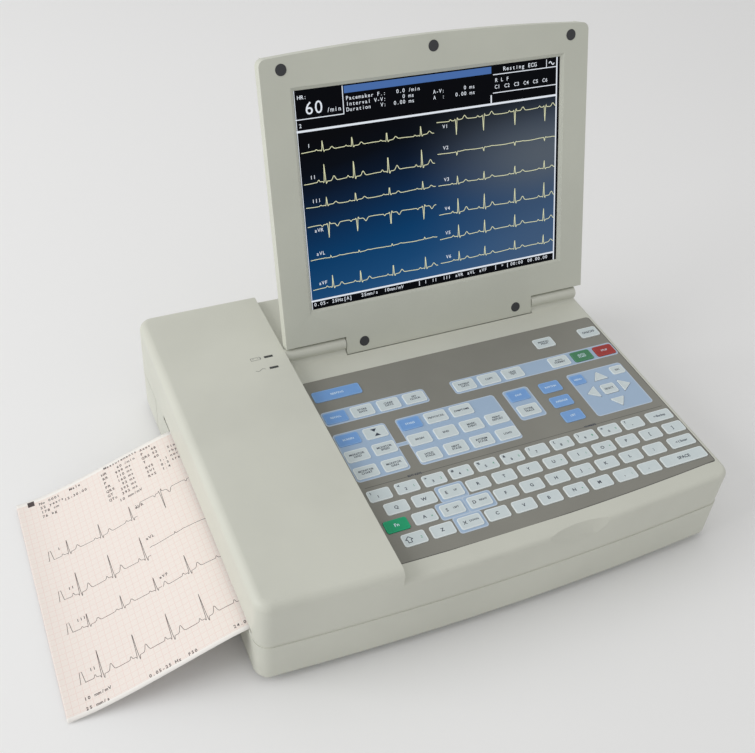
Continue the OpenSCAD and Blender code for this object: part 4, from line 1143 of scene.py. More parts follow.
@dataclass(frozen=True)
class LitDisplay:
    """Lit flat display: black bands above and below a field that fades from black to blue, with a grey
    painted reflection to its right.

    Foot, head and right are where the bands end, as shares of the display.
    """

    name: str
    plane: WorkPlane
    left: float
    wide: float
    low: float
    high: float
    foot: float = 0.04
    head: float = 0.822
    right: float = 0.991
    grain: float = 0.4
    glass: Tint = Tint(2, 2, 3)
    night: Tint = Tint(2, 3, 7)
    # colour of the painted reflection of a lamp in the glass
    painted_reflection: Tint = Tint(86, 94, 102)
    shades: tuple[tuple[float, Tint], ...] = (
        (0.0, Tint(46, 86, 130)), (0.2, Tint(34, 78, 122)), (0.3, Tint(20, 68, 112)),
        (0.45, Tint(5, 57, 100)), (0.56, Tint(5, 46, 84)), (0.67, Tint(7, 33, 62)),
        (0.78, Tint(4, 18, 37)), (0.87, Tint(2, 7, 17)), (1.0, Tint(2, 3, 7)))

    def make(self) -> bpy.types.Material:
        """Makes the material: a glow that depends on the height up the lid.

        To the right the field climbs under a grey painted reflection of a lamp in the glass.

        Returns:
            The material.
        """
        s = Shader(self.name)
        at = s.place()
        start = float(np.dot(self.plane.start, self.plane.up)) * MM
        up = (s.along(at, self.plane.up, start) - self.low * MM) / ((self.high - self.low) * MM)
        side = (s.along(at, X_AXIS) - self.left * MM) / (self.wide * MM)
        stops = [(place, tint.linear()) for place, tint in self.shades]
        glow = s.node("ShaderNodeValToRGB", {"stops": stops}, {"Fac": up + 0.2 - (side - 0.16) * 0.27})
        grain = s.noise(at, self.grain * MM, 1.0)
        field_share = up.ramp(self.foot, self.foot + 0.002) * (1.0 - up.ramp(self.head, self.head + 0.002))
        field_share = field_share * (1.0 - side.ramp(self.right, self.right + 0.0005))
        # painted reflection: a grey haze of a lamp mirrored in the glass, laid into the glow on the right
        reflection_share = side.ramp(0.36, 0.95) * (1.0 - up.ramp(0.56, 0.9)) * (up.ramp(0.3, 0.55) * 0.5 + 0.36)
        colour = s.mix(reflection_share, Wire(s, glow.outputs["Color"]), self.painted_reflection)
        colour = s.mix(field_share, self.night, colour)
        s.dress(base_color=self.glass, roughness=0.26 + grain * 0.05, emission_color=colour,
                emission_strength=1.0, specular_ior_level=0.05)
        return s.material


BODY = MouldedPlastic("housing_plastic", Tint(205, 206, 195))
LID = MouldedPlastic("lid_plastic", Tint(203, 205, 193))
DARK = MouldedPlastic("dark_plastic", Tint(58, 59, 62), 0.5)
TRAY = MouldedPlastic("tray_plastic", Tint(182, 184, 174), 0.5)
GEAR = MouldedPlastic("acetal", Tint(226, 224, 212), 0.38, 0.6)
STEEL = Metal("zinc_steel", Tint(184, 188, 190), 0.34)
TURNED = Metal("turned_steel", Tint(200, 202, 204), 0.24, (30.0, 1.0, 30.0))
ALUMINIUM = Metal("aluminium", Tint(204, 206, 208), 0.32)
BRASS = Metal("brass", Tint(206, 172, 96), 0.28, (30.0, 1.0, 30.0))
CAN = Metal("motor_can", Tint(128, 130, 134), 0.42, (30.0, 1.0, 30.0))
BOARD = CircuitBoard("circuit_board")
FEET = Rubber("foot_rubber", Tint(34, 34, 35))
PLATEN = Rubber("platen_rubber", Tint(40, 40, 42))
CERAMIC = MouldedPlastic("glazed_ceramic", Tint(42, 40, 40), 0.16, 0.8)
SLEEVE = MouldedPlastic("battery_sleeve", Tint(44, 48, 56), 0.36, 1.2)
WINDOW = SmokedWindow("smoked_window")


@dataclass(frozen=True)
class KeyPlan:
    """One key: its place in the keyboard plane, its size and what is printed on it.

    Aside moves the words off its middle; mark, note and second are small words at its upper
    left, beside its letter and at its right.
    """

    x: float
    s: float
    wide: float
    deep: float
    words: str
    size: float = 2.75
    aside: Pair = (0.0, 0.0)
    mark: str = ""
    second: str = ""
    note: str = ""


@dataclass
class Keyboard:
    """Membrane keyboard: sheet, caps and legends.

    Places are in the keyboard's plane: x to the right and s up the slope from its middle.
    Save_at and list_at are columns beside the middle block, counted in button pitches.
    Inset, drop and rim are the profile of a cap from its foot to its dished field.
    """

    shop: Workshop
    height: float = KEYBOARD_HEIGHT
    slope: float = KEYBOARD_SLOPE
    key_x: float = -77.4
    key_s: float = -129.6
    pitch: float = 23.2
    row: float = 15.7
    stagger: float = 0.31
    letter: Pair = (19.0, 11.5)
    button: Pair = (19.5, 12.5)
    button_pitch: float = 23.7
    button_row: float = 18.4
    button_s: float = -57.6
    strip_s: float = 5.7
    upper_s: float = 32.2
    side_x: float = 41.2
    mid_x: float = -22.89
    nav_x: float = 159.4
    nav_pitch: float = 20.5
    last_x: float = 181.3
    top: float = 0.5
    sheet_top: float = -0.2
    under: float = -0.3
    stem_end: float = -5.8
    stem_in: float = 0.02
    ink_drop: float = 0.085
    ink_thick: float = 0.04
    stem_size: Pair = (7.0, 5.0)
    arrow_stem: Pair = (3.4, 4.0)
    arrow_away: float = 17.0
    save_at: float = 4.3
    list_at: float = 5.65
    enter_wide: float = 24.0
    space_wide: float = 42.0
    heading_wide: float = 42.5
    nav_wide: float = 13.0
    select_wide: float = 14.0
    inset: tuple[float, ...] = (0.0, 0.0, 0.08, 0.3, 0.75, 1.05, 2.2)
    drop: tuple[float, ...] = (0.25, 0.08, 0.0, 0.0, 0.06, 0.09)
    rim: tuple[float, ...] = (1.0, 1.0, 1.0, 1.0, 1.0, 0.0, 0.0)
    plane: WorkPlane = field(init=False)
    ink_lift: float = field(init=False)
    middle_s: float = field(init=False)

    def __post_init__(self) -> None:
        """Sets up the keyboard's plane, the height of its print and the select key's row."""
        self.plane = tilted_plane((0.0, 0.0, self.height), self.slope)
        self.ink_lift = self.top - self.ink_drop
        self.middle_s = self.button_s + self.button_row

    def skin(self, outlines: Array, low: float) -> Patch:
        """A key cap: outlines carried up, round its edge, over a raised border and into a dished field.

        Args:
            outlines: One flat outline for each step of the profile, shaped (steps, places, 2).
            low: Height of its foot; the steps above it lie under the top by their drops.

        Returns:
            The cap.
        """
        high = np.array([low, *(self.top - d for d in self.drop)])
        return loft(raised(outlines, high), 0, np.array(self.rim))

    def pad(self, outline: Array, low: float, reach: float = 6.0) -> Patch:
        """A cap of any outline, drawn towards its middle by each inset.

        Args:
            outline: Its outline.
            low: Height of its foot.
            reach: The largest distance from its middle that an inset is a share of.

        Returns:
            The cap.
        """
        middle = outline.mean(axis=0)
        near = min(float(np.linalg.norm(outline - middle, axis=1).min()), reach)
        share = 1.0 - np.array(self.inset) / near
        return self.skin(middle + (outline - middle)[None] * share[:, None, None], low)

    def cap(self, key: KeyPlan, low: float, radius: float = 2.0, least: float = 0.4) -> Patch:
        """A rectangular cap, drawn in evenly all round.

        Args:
            key: The key, for its place and its size.
            low: Height of its foot.
            radius: Radius of its corners, which shrinks with the inset.
            least: The smallest radius.

        Returns:
            The cap.
        """
        half = np.array([key.wide, key.deep]) / 2
        outlines = [loop(CORNERS * (half - i) + (key.x, key.s), max(radius - i, least)) for i in self.inset]
        return self.skin(np.stack(outlines), low)

    def stem(self, x: float, s: float, wide: float, deep: float, turn: float = 0.0) -> Patch:
        """A key's stem: a rounded rectangle carried from the dome up to the cap.

        Args:
            x: Its place to the right.
            s: Its place up the slope.
            wide: Its width.
            deep: Its depth.
            turn: Its turn in degrees.

        Returns:
            The stem.
        """
        outline = rotated(loop(CORNERS * np.array([wide, deep]) / 2, 0.3, 3), turn) + (x, s)
        high = np.array([self.stem_end, self.under + self.stem_in])
        return loft(raised(np.stack([outline, outline]), high))

    def legend(self, key: KeyPlan) -> list[Patch]:
        """The words on a key, with the small marks at its upper left and at its right.

        Args:
            key: The key.

        Returns:
            The words, each from a row of text, place, size, number of the ink and boldness.
        """
        spots = ((key.words, key.x + key.aside[0], key.s + key.aside[1], key.size, 1, 0.018),
                 (key.mark, key.x - 6.4, key.s + 2.7, 3.3, 1, 0.036),
                 (key.note, key.x + 3.2, key.s + 0.5, 2.3, 1, 0.02),
                 (key.second, key.x + 5.6, key.s - 0.4, 2.9, 2, 0.01))
        return [self.shop.letters.patch(words, (x, y), size, self.ink_lift, ink, self.ink_thick, bold)
                for words, x, y, size, ink, bold in spots if words]

    def shift_sign(self) -> Patch:
        """Draws the outlined arrow on the shift key, a line round its seven corners.

        Returns:
            The line.
        """
        corners = np.array([[0.0, 3.0], [-2.9, 0.2], [-1.4, 0.2], [-1.4, -2.6],
                            [1.4, -2.6], [1.4, 0.2], [2.9, 0.2], [0.0, 3.0]])
        place = np.array([self.key_x + self.pitch * self.stagger - 4.2, self.key_s])
        return ribbon(outlined(corners, 6) + place, 0.55, self.ink_lift, self.ink_thick, 1)

    def page_signs(self) -> list[Patch]:
        """Draws the two triangles on the page key, one that points down and one that points up.

        Returns:
            The triangles.
        """
        x, s = self.button_at(self.key_x, 2, 1)
        up = np.array([[-2.6, -1.5], [2.6, -1.5], [0.0, 1.7]])
        return [blade(corners, self.ink_lift, self.ink_thick, 1)
                for corners in (up + (x + 0.6, s - 2.5), -up + (x - 0.6, s + 2.5))]

    def button_at(self, x0: float, row: int, place: int) -> Pair:
        """Place of a function key in a block."""
        return x0 + self.button_pitch * place, self.button_s + self.button_row * row

    def buttons(self) -> list[KeyPlan]:
        """Lays out the white function keys.

        Returns:
            The keys.
        """
        w, d = self.button
        side = self.mid_x + self.save_at * self.button_pitch
        places = [((self.key_x + self.button_pitch * i, self.strip_s), t)
                  for i, t in ((1, "STORE\nDATA"), (2, "CLEAR\nDATA"), (3, "SET\nCLOCK"))]
        places += [(self.button_at(self.key_x, r, i), t) for r, i, t in (
            (0, 0, "MONITOR\nCHART"), (0, 1, "MONITOR\nGAIN"), (1, 0, "MONITOR\nLEAD"),
            (1, 1, "MONITOR\nSPEED"), (2, 1, ""))]
        places += [(self.button_at(self.mid_x, r, i), t) for r, i, t in (
            (0, 0, "HOLD\nSTAGE"), (0, 1, "NEXT\nSTAGE"), (0, 2, "INTERIM\nSTAGE"), (0, 3, "LOAD"),
            (1, 0, "BEGIN"), (1, 1, "END"), (1, 2, "MARK\nEVENT"), (1, 3, "PRINT\nREPORT"),
            (2, 1, "PROTOCOL"), (2, 2, "SYMPTOMS"))]
        places += [((self.side_x + self.button_pitch * i, self.strip_s), t)
                   for i, t in ((0, "PATIENT\nDATA"), (1, "COPY"), (2, "LEAD\nTEST"), (4, "AUTO\nFORMAT"))]
        places.append((self.button_at(side, 1, 0), "STORE\nTRACE"))
        keys = [KeyPlan(x, s, w, d, t) for (x, s), t in places]
        nav = self.button_at(self.nav_x + self.nav_pitch, 2, 0)
        return keys + [KeyPlan(nav[0], nav[1], self.nav_wide, d - 2.5, "ESC")]

    def labels(self) -> list[KeyPlan]:
        """Lays out the blue keys and headings.

        Returns:
            The keys.
        """
        w, d = self.button
        side, row = (self.mid_x + column * self.button_pitch for column in (self.save_at, self.list_at))
        places = [((self.key_x, self.strip_s), "RECALL"), (self.button_at(self.key_x, 2, 0), "SCREEN"),
                  (self.button_at(self.mid_x, 2, 0), "STRESS"), (self.button_at(side, 2, 0), "SAVE")]
        places += [(self.button_at(row, r, 0), t) for r, t in ((0, "LIST"), (1, "AVERAGE"), (2, "RHYTHM"))]
        keys = [KeyPlan(x, s, w, d, t) for (x, s), t in places]
        nav = self.button_at(self.nav_x - self.nav_pitch, 2, 0)
        keys.append(KeyPlan(nav[0], nav[1], self.nav_wide, d - 1.0, "MENU"))
        return keys + [KeyPlan(self.key_x + 11.75, self.upper_s, self.heading_wide, d, "RESTING", 3.0)]

    def letters(self) -> list[KeyPlan]:
        """Lays out the letter and digit keys, from the front row on, and the backspace key.

        Returns:
            The keys.
        """
        rows = (("", "Z", "X", "C", "V", "B", "N", "M", ",", "."),
                ("A", "S", "D", "F", "G", "H", "J", "K", "L", ";"),
                ("Q", "W", "E", "R", "T", "Y", "U", "I", "O", "P", "[", "]"),
                ("1", "2", "3", "4", "5", "6", "7", "8", "9", "0", "-"))
        marks = ("!", "<", ">", "#", "%", "&", "/", "(", ")", "=", "?")
        seconds = ({0: "2", 6: "+", 8: ":"}, {0: "x", 6: "-"}, {6: "+", 7: "/", 8: "*", 9: "'"},
                   {1: "1", 2: "2", 3: "3", 4: "4", 5: "5", 7: "7", 8: "8", 9: "9"})
        notes = {"E": "UP", "S": "LEFT", "D": "RIGHT", "X": "DOWN"}
        keys = []
        for r, row in enumerate(rows):
            for i, word in enumerate(row):
                place = i + (self.stagger if r % 2 == 0 else 0.0) + (1 if r == 1 else 0)
                aside, size = ((-1.6, -1.5), 3.6) if r == 3 else ((-1.4 if i > 4 else -0.3, 0.0), 4.2)
                aside = (-4.6, 0.0) if word in notes else aside
                keys.append(KeyPlan(self.key_x + self.pitch * place, self.key_s + self.row * r, *self.letter,
                                    word, size, aside, marks[i] if r == 3 else "", seconds[r].get(i, ""),
                                    notes.get(word, "")))
        return keys + [KeyPlan(self.last_x, self.key_s + 3 * self.row, self.enter_wide, self.letter[1],
                               "<-Backsp", 3.2)]

    def printed(self, name: str, keys: list[KeyPlan], cap: Cap, ink: Ink, node: str, slot: str,
                signs: Sequence[Patch] = ()) -> None:
        """Makes the caps, legends and signs of keys that are printed on the sheet.

        Args:
            name: The piece's name.
            keys: The keys.
            cap: The colour of their caps.
            ink: The colour of their words.
            node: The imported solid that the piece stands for.
            slot: The record's material slot.
            signs: Drawn signs on some of the keys.
        """
        patches = [self.cap(k, self.sheet_top) for k in keys]
        patches += [one for k in keys for one in self.legend(k)] + list(signs)
        made = self.shop.piece(name, patches, self.finishes(cap, ink), "console", slot, self.plane)
        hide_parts(node)

    @staticmethod
    def finishes(cap: Cap, ink: Ink) -> list[Any]:
        """The finishes of a key: its cap, its words and its second marks."""
        return [KeyCap(f"cap_{cap.name.lower()}", cap), PrintInk(f"ink_{ink.name.lower()}", ink),
                PrintInk("ink_green", Ink.GREEN)]

    def pressed(self, key: KeyPlan, node: str, cap: Cap, ink: Ink) -> None:
        """Makes a rectangular key that travels: its cap, stem and legend."""
        stem = self.stem(key.x, key.s, *self.stem_size)
        self.moving(node, [self.cap(key, self.under), stem, *self.legend(key)], cap, ink)

    def moving(self, node: str, patches: list[Patch], cap: Cap, ink: Ink) -> None:
        """Makes a travelling key's piece and lets it stand for its solid."""
        made = self.shop.piece(f"{node}_cap", patches, self.finishes(cap, ink), node, self.shop.slot_of[node],
                               self.plane)
        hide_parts(node)

    def arrow(self, node: str, turn: float) -> None:
        """Makes an arrow key: a triangle with rounded corners, turned about the select key.

        Args:
            node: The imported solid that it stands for.
            turn: Its turn in degrees; 0 points to the rear.
        """
        x, s = rotated(np.array([0.0, self.arrow_away]), turn) + (self.nav_x, self.middle_s)
        corners = rotated(np.array([[-7.0, -5.0], [7.0, -5.0], [0.0, 5.0]]), turn)
        patches = [self.pad(loop(corners, 0.5, 4) + (x, s), self.under),
                   self.stem(x, s, *self.arrow_stem, turn)]
        self.moving(node, patches, Cap.WHITE, Ink.LEGEND)

    def panels(self) -> tuple[Panel, ...]:
        """Lays out the blue panels behind the keys and under the four cursor letters.

        Returns:
            The panels.
        """
        w, d = self.letter[0] / 2 + 2.6, self.letter[1] / 2 + 2.4
        cursor = [(2 + self.stagger, 2), (2.0, 1), (3.0, 1), (2 + self.stagger, 0)]
        spots = [(self.key_x + self.pitch * i, self.key_s + self.row * r) for i, r in cursor]
        return (Panel(-88.2, 5.0, -2.4, 14.0), Panel(-88.2, -42.6, -66.0, -12.4),
                Panel(-33.6, 58.6, -66.0, -12.4), Panel(-43.5, -33.0, -41.5, -37.5, 0.5),
                Panel(29.6, 194.6, -2.4, 14.0), Panel(67.0, 91.6, -49.0, -12.4),
                Panel(131.2, 187.6, -66.0, -12.4),
                *(Panel(x - w, x + w, s - d, s + d, 2.5) for x, s in spots))

    def travelling(self) -> list[tuple[KeyPlan, str, Cap, Ink]]:
        """Lays out the rectangular keys that move.

        Returns:
            Each key with its node and its colours.
        """
        w, d = self.button
        wide, deep = self.letter
        home = self.key_s + self.row
        space = self.last_x - (self.space_wide - self.enter_wide) / 2
        strip = [self.side_x + self.button_pitch * i for i in range(7)]
        return [(KeyPlan(strip[6], self.upper_s, w, d, "ON/OFF", 3.6), "power_key", Cap.WHITE, Ink.LEGEND),
                (KeyPlan(strip[4], self.upper_s, w, d, "MANUAL\nPRINT"), "manual_key", Cap.WHITE, Ink.LEGEND),
                (KeyPlan(strip[5], self.strip_s, w, d, "AUTO\nSTART"), "start_key", Cap.GREEN, Ink.PALE),
                (KeyPlan(strip[6], self.strip_s, w, d, "STOP"), "stop_key", Cap.RED, Ink.PALE),
                (KeyPlan(self.key_x, home, wide, deep, "Fn", 4.2), "fn_key", Cap.TEAL, Ink.PALE),
                (KeyPlan(self.last_x, home, self.enter_wide, deep, "<-| Enter", 3.2), "enter_key",
                 Cap.WHITE, Ink.LEGEND),
                (KeyPlan(space, self.key_s, self.space_wide, deep, "SPACE", 4.2), "space_key",
                 Cap.WHITE, Ink.LEGEND),
                (KeyPlan(self.nav_x, self.middle_s, self.select_wide, d - 1.0, "SELECT"), "select_key",
                 Cap.WHITE, Ink.LEGEND)]

    def build(self) -> None:
        """Makes every key and dresses the sheet."""
        sheet = KeyboardSheet("keyboard_sheet", self.height, self.slope, self.panels())
        self.shop.paint(sheet, "keypad_overlay")
        self.printed("white_buttons", self.buttons(), Cap.WHITE, Ink.LEGEND, "function_keys", "key_white",
                     self.page_signs())
        self.printed("letter_caps", self.letters(), Cap.WHITE, Ink.LEGEND, "letter_keys", "key_white",
                     [self.shift_sign()])
        self.printed("blue_buttons", self.labels(), Cap.BLUE, Ink.PALE, "label_keys", "key_blue")
        for plan in self.travelling():
            self.pressed(*plan)
        for node, turn in (("up_key", 0.0), ("left_key", 90.0), ("down_key", 180.0), ("right_key", 270.0)):
            self.arrow(node, turn)
        self.shop.paint(BOARD, "keypad_board")
        notes = [self.shop.letters.patch(words, at, 2.6, self.sheet_top + 0.005, bold=0.02)
                 for words, at in (("EDIT KEYS", (-43.2, -72.6)), ("NUMBERS", (118.6, -72.6)))]
        self.shop.piece("divider_words", notes, [PrintInk("ink_legend", Ink.LEGEND)], "console",
                        "keyboard_sheet", self.plane)


def heartbeat(t: Array, size: float, turned: float = 1.0, rounded: float = 1.0) -> Array:
    """One beat of a tracing around t = 0, in seconds.

    A sum of bell curves: a small rounded wave, a dip, the tall spike, a second dip and a broad wave.

    Args:
        t: Time from the spike.
        size: The spike's height.
        turned: 1, or -1 for a spike that points down.
        rounded: Height of the rounded waves against their usual one; below 0 they point down.

    Returns:
        The height at each time.
    """
    place = np.array([-0.17, -0.035, 0.0, 0.038, 0.25])
    spread = np.array([0.026, 0.011, 0.013, 0.013, 0.048])
    height = np.array([0.12 * rounded, -0.09 * turned, turned, -0.16 * turned, 0.26 * rounded])
    bells = height * np.exp(-(((t[..., None] - place) / spread) ** 2))
    return size * bells.sum(axis=-1)


@dataclass(frozen=True)
class Lead:
    """One tracing: its label, its level, and the height and way of its spikes and rounded waves."""

    label: str
    level: float
    spike: float
    turned: float = 1.0
    rounded: float = 1.0


@dataclass
class Lid:
    """Flip-up lid with its lit screen.

    The hinge's axis is given as y and z; below and behind say where the front face's lower
    edge lies from it. Letter, room and bold are the screen's letters.
    """

    shop: Workshop
    hinge: Pair = (83.04039, 88.69093)
    tilt: float = 17.5
    below: float = 7.0
    behind: float = 5.1
    screen_left: float = -66.0
    screen_low: float = 30.0
    screen_wide: float = 241.5
    screen_high: float = 181.0
    recess: float = 2.5
    bold: float = 0.008
    letter: float = 4.3
    room: float = 2.7
    trace_width: float = 0.56
    beat_scale: float = 7.6
    label_in: float = 0.022
    label_under: float = 0.022
    label_over: float = -0.026
    picture_lift: float = 0.02
    plane: WorkPlane = field(init=False)
    lift: float = field(init=False)

    def __post_init__(self) -> None:
        """Sets up the lid's plane, whose zero is on the front face at the lower edge."""
        flat = tilted_plane((0.0, 0.0, 0.0), 90.0 - self.tilt)
        start = np.array([0.0, *self.hinge])
        start = start + self.below * np.array(flat.up) + self.behind * np.array(flat.out)
        self.plane = WorkPlane(tuple(float(v) for v in start), flat.across, flat.up, flat.out)
        self.lift = -self.recess + self.picture_lift

    def at(self, a: Any, b: Any) -> Array:
        """Plane coordinates of a place on the screen, as shares from its upper left corner."""
        return np.stack([self.screen_left + np.asarray(a) * self.screen_wide,
                         self.screen_low + (1.0 - np.asarray(b)) * self.screen_high], axis=-1)

    def words(self, text: str, a: float, b: float, size: float | None = None, room: float | None = None,
              bold: float | None = None) -> list[Patch]:
        """Words on the screen.

        Args:
            text: The words.
            a: Their left end, as a share of the screen's width.
            b: Their middle, as a share of its height from the top.
            size: The letters' size, if not the usual one.
            room: The room of a letter, if not the usual one.
            bold: How far their strokes are fattened, if not as usual.

        Returns:
            The letters.
        """
        return self.shop.letters.spaced(text, tuple(self.at(a, b)), self.letter if size is None else size,
                                        self.room if room is None else room, self.lift,
                                        self.bold if bold is None else bold)

    def traces(self) -> list[Patch]:
        """Draws twelve tracings in two columns, with their labels.

        A column is its left and right end, the places of its beats and its leads, all as
        shares of the screen.

        Returns:
            The tracings and labels.
        """
        columns = ((0.01, 0.496, (0.085, 0.191, 0.318, 0.446),
                    (Lead("I", 0.268, 0.043), Lead("II", 0.408, 0.078), Lead("III", 0.516, 0.037),
                     Lead("aVR", 0.604, 0.064, -1.0, -1.0), Lead("aVL", 0.762, 0.011),
                     Lead("aVF", 0.905, 0.057))),
                   (0.507, 0.988, (0.583, 0.69, 0.817, 0.941),
                    (Lead("V1", 0.224, 0.07, -1.0, 0.85), Lead("V2", 0.37, 0.018, -1.0, 0.3),
                     Lead("V3", 0.519, 0.038), Lead("V4", 0.659, 0.071), Lead("V5", 0.779, 0.06),
                     Lead("V6", 0.899, 0.045))))
        out = []
        for left, right, beats, leads in columns:
            along = np.linspace(left, right, 300)
            for lead in leads:
                t = (along[:, None] - np.array(beats)) * self.beat_scale
                wave = heartbeat(t, lead.spike, lead.turned, lead.rounded).sum(axis=-1)
                drift = 0.0012 * np.sin(60.0 * along + lead.level * 40.0)
                path = self.at(along, lead.level - wave - drift)
                out.append(ribbon(path, self.trace_width, self.lift, INK_THICK, 1))
                down = lead.turned < 0 and lead.spike > 0.05
                beside = self.label_under if down else self.label_over
                out += self.words(lead.label, left + self.label_in, lead.level + beside)
        return out

    def bands(self) -> list[Patch]:
        """Draws the lines, the bar and the words of the head and foot of the screen.

        A line is its two ends, as shares of the screen, and its width in millimetres.

        Returns:
            The lines, the bar and the words.
        """
        out = []
        lines = (((0.0, 0.1755), (0.987, 0.1755), 1.7), ((0.0, 0.959), (0.99, 0.959), 1.5),
                 ((0.169, 0.004), (0.169, 0.1245), 0.7), ((0.0, 0.1245), (0.17, 0.1245), 0.7),
                 ((0.73, 0.0435), (0.987, 0.0435), 0.7), ((0.945, 0.006), (0.945, 0.0435), 0.6),
                 ((0.729, 0.126), (0.987, 0.126), 0.7), ((0.722, 0.134), (0.722, 0.17), 1.2),
                 ((0.988, 0.0), (0.988, 1.0), 1.2), ((0.002, 0.0), (0.002, 1.0), 0.5),
                 ((0.418, 0.967), (0.418, 0.99), 0.6), ((0.735, 0.967), (0.735, 0.99), 0.6),
                 ((0.786, 0.967), (0.786, 0.99), 0.6))
        for first, last, width in lines:
            path = self.at(np.linspace(first[0], last[0], 3), np.linspace(first[1], last[1], 3))
            out.append(ribbon(path, width, self.lift))
        out.append(slab(self.at(0.174, 0.037), self.at(0.723, 0.006), self.lift, INK_THICK, 2))
        t = np.linspace(-1.0, 1.0, 24)
        out.append(ribbon(self.at(0.966 + 0.011 * t, 0.025 + 0.007 * np.sin(math.pi * t)), 0.8, self.lift))
        words = (("HR:", 0.011, 0.032), ("2", 0.009, 0.152), ("Pacemaker F.:", 0.178, 0.06),
                 ("Interval V-V:", 0.178, 0.085), ("Duration   V:", 0.178, 0.109), ("0.0 /min", 0.36, 0.06),
                 ("0 ms", 0.382, 0.085), ("0.00 ms", 0.349, 0.109), ("A-V:", 0.497, 0.084),
                 ("A  :", 0.497, 0.11), ("0 ms", 0.614, 0.084), ("0.00 ms", 0.581, 0.11),
                 ("R L F", 0.737, 0.07),
                 ("0.05- 25Hz[A]", 0.008, 0.978), ("25mm/s", 0.187, 0.978), ("10mm/mV", 0.277, 0.978),
                 ("I", 0.438, 0.978), ("II", 0.468, 0.978), ("III", 0.513, 0.978), ("aVR", 0.564, 0.978),
                 ("aVL", 0.614, 0.978), ("aVF", 0.664, 0.978), ("*", 0.758, 0.978), ("00:00", 0.798, 0.978),
                 ("00.00.00", 0.872, 0.978), *((f"C{n}", 0.736 + 0.0385 * (n - 1), 0.1) for n in range(1, 7)),
                 ("Resting ECG", 0.769, 0.023, 4.7, 3.0), ("/min", 0.109, 0.099, 5.0, 3.2),
                 ("60", 0.033, 0.083, 14.0, 8.0, 0.0))
        for entry in words:
            out += self.words(*entry)
        return out

    def build(self) -> None:
        """Dresses the lid's solids and draws the screen."""
        shop = self.shop
        shop.moulding("lid_bezel", "lid_front", LID, 0.9)
        shop.moulding("lid_cover", "lid_rear", LID, 0.8)
        shop.moulding("lid_plugs", "lid_screw_plugs", DARK, 0.25)
        shop.paint(LitDisplay("lit_display", self.plane, self.screen_left, self.screen_wide, self.screen_low,
                              self.screen_low + self.screen_high), "screen")
        inks = [ScreenInk(f"glow_{g.name.lower()}", g) for g in (Glow.WHITE, Glow.TRACE, Glow.BAR)]
        shop.piece("screen_picture", self.traces() + self.bands(), inks, "lid", "screen", self.plane)
        shop.paint(ALUMINIUM, "lcd_module")
        shop.paint(STEEL, "lid_screws", "hinge_leaves")
        shop.paint(BOARD, "lid_board")


@dataclass
class ChartRun:
    """Shape of the chart paper: off the pack, round the platen and down to the table.

    Platen and fall are places (x, z); the waves reach free_from along the sheet and are
    full free_over nearer to the tail.
    """

    front: float = -138.0
    wide: float = 210.0
    platen: Pair = (-181.0, 36.0)
    wrap: float = 8.225
    wrap_from: float = 35.0
    pack_top: float = 26.4
    pack_end: float = -86.0
    fall: tuple[Pair, ...] = ((-196.0, 44.225), (-216.0, 43.225), (-280.0, 7.0), (-330.0, 0.15))
    free_from: float = 135.0
    free_over: float = 60.0
    wave_high: float = 0.25
    curl_high: float = 1.4
    curl_long: float = 26.0
    line: Array = field(init=False)
    far: Array = field(init=False)

    def __post_init__(self) -> None:
        """Works out the middle line from the tail inwards, and how far along it each point lies.

        The tail is a cubic Bezier curve, the turn over the platen an arc, the rest straight.
        """
        t = np.linspace(1.0, 0.0, 160)[:, None]
        p = np.array(self.fall)
        u = 1 - t
        tail = u ** 3 * p[0] + 3 * u ** 2 * t * p[1] + 3 * u * t * t * p[2] + t ** 3 * p[3]
        a = np.radians(np.linspace(90.0, self.wrap_from, 24))[:, None]
        arc = np.array(self.platen) + self.wrap * np.concatenate([np.cos(a), np.sin(a)], axis=1)
        foot = arc[-1, 0] + (arc[-1, 1] - self.pack_top) * math.tan(math.radians(self.wrap_from))
        self.line = np.concatenate([tail, arc, [[foot, self.pack_top], [self.pack_end, self.pack_top]]])
        self.far = np.concatenate([[0.0], np.cumsum(np.linalg.norm(np.diff(self.line, axis=0), axis=1))])

    def on_line(self, along: Array) -> Array:
        """The middle line's x and z, as two rows, at distances along it."""
        return np.stack([np.interp(along, self.far, self.line[:, i]) for i in (0, 1)])

    def put(self, points: Array) -> Array:
        """Sheet coordinates turned to metres in space.

        The middle line gives x and z, the way across gives y, and the sheet's slight waves
        and its lifted tail add to the height over it.

        Args:
            points: Rows of the distance from the tail, from the front edge and above the sheet.

        Returns:
            Rows of x, y and z.
        """
        along, across, above = points[:, 0], points[:, 1], points[:, 2]
        x, z = self.on_line(along)
        step = 0.5
        dx, dz = self.on_line(along + step) - self.on_line(along - step)
        size = np.maximum(np.hypot(dx, dz), 1e-9)
        free = np.clip((self.free_from - along) / self.free_over, 0.0, 1.0)
        share = across / self.wide
        wave = self.wave_high * free * (1.0 + np.sin(7.0 * share + along / 38.0))
        end = np.clip((self.curl_long - along) / self.curl_long, 0.0, 1.0)
        curl = self.curl_high * end ** 2 * (0.5 + 0.5 * share)
        lift = above + wave + curl
        return np.stack([x - dz / size * lift, self.front + across, z + dx / size * lift], axis=-1) * MM


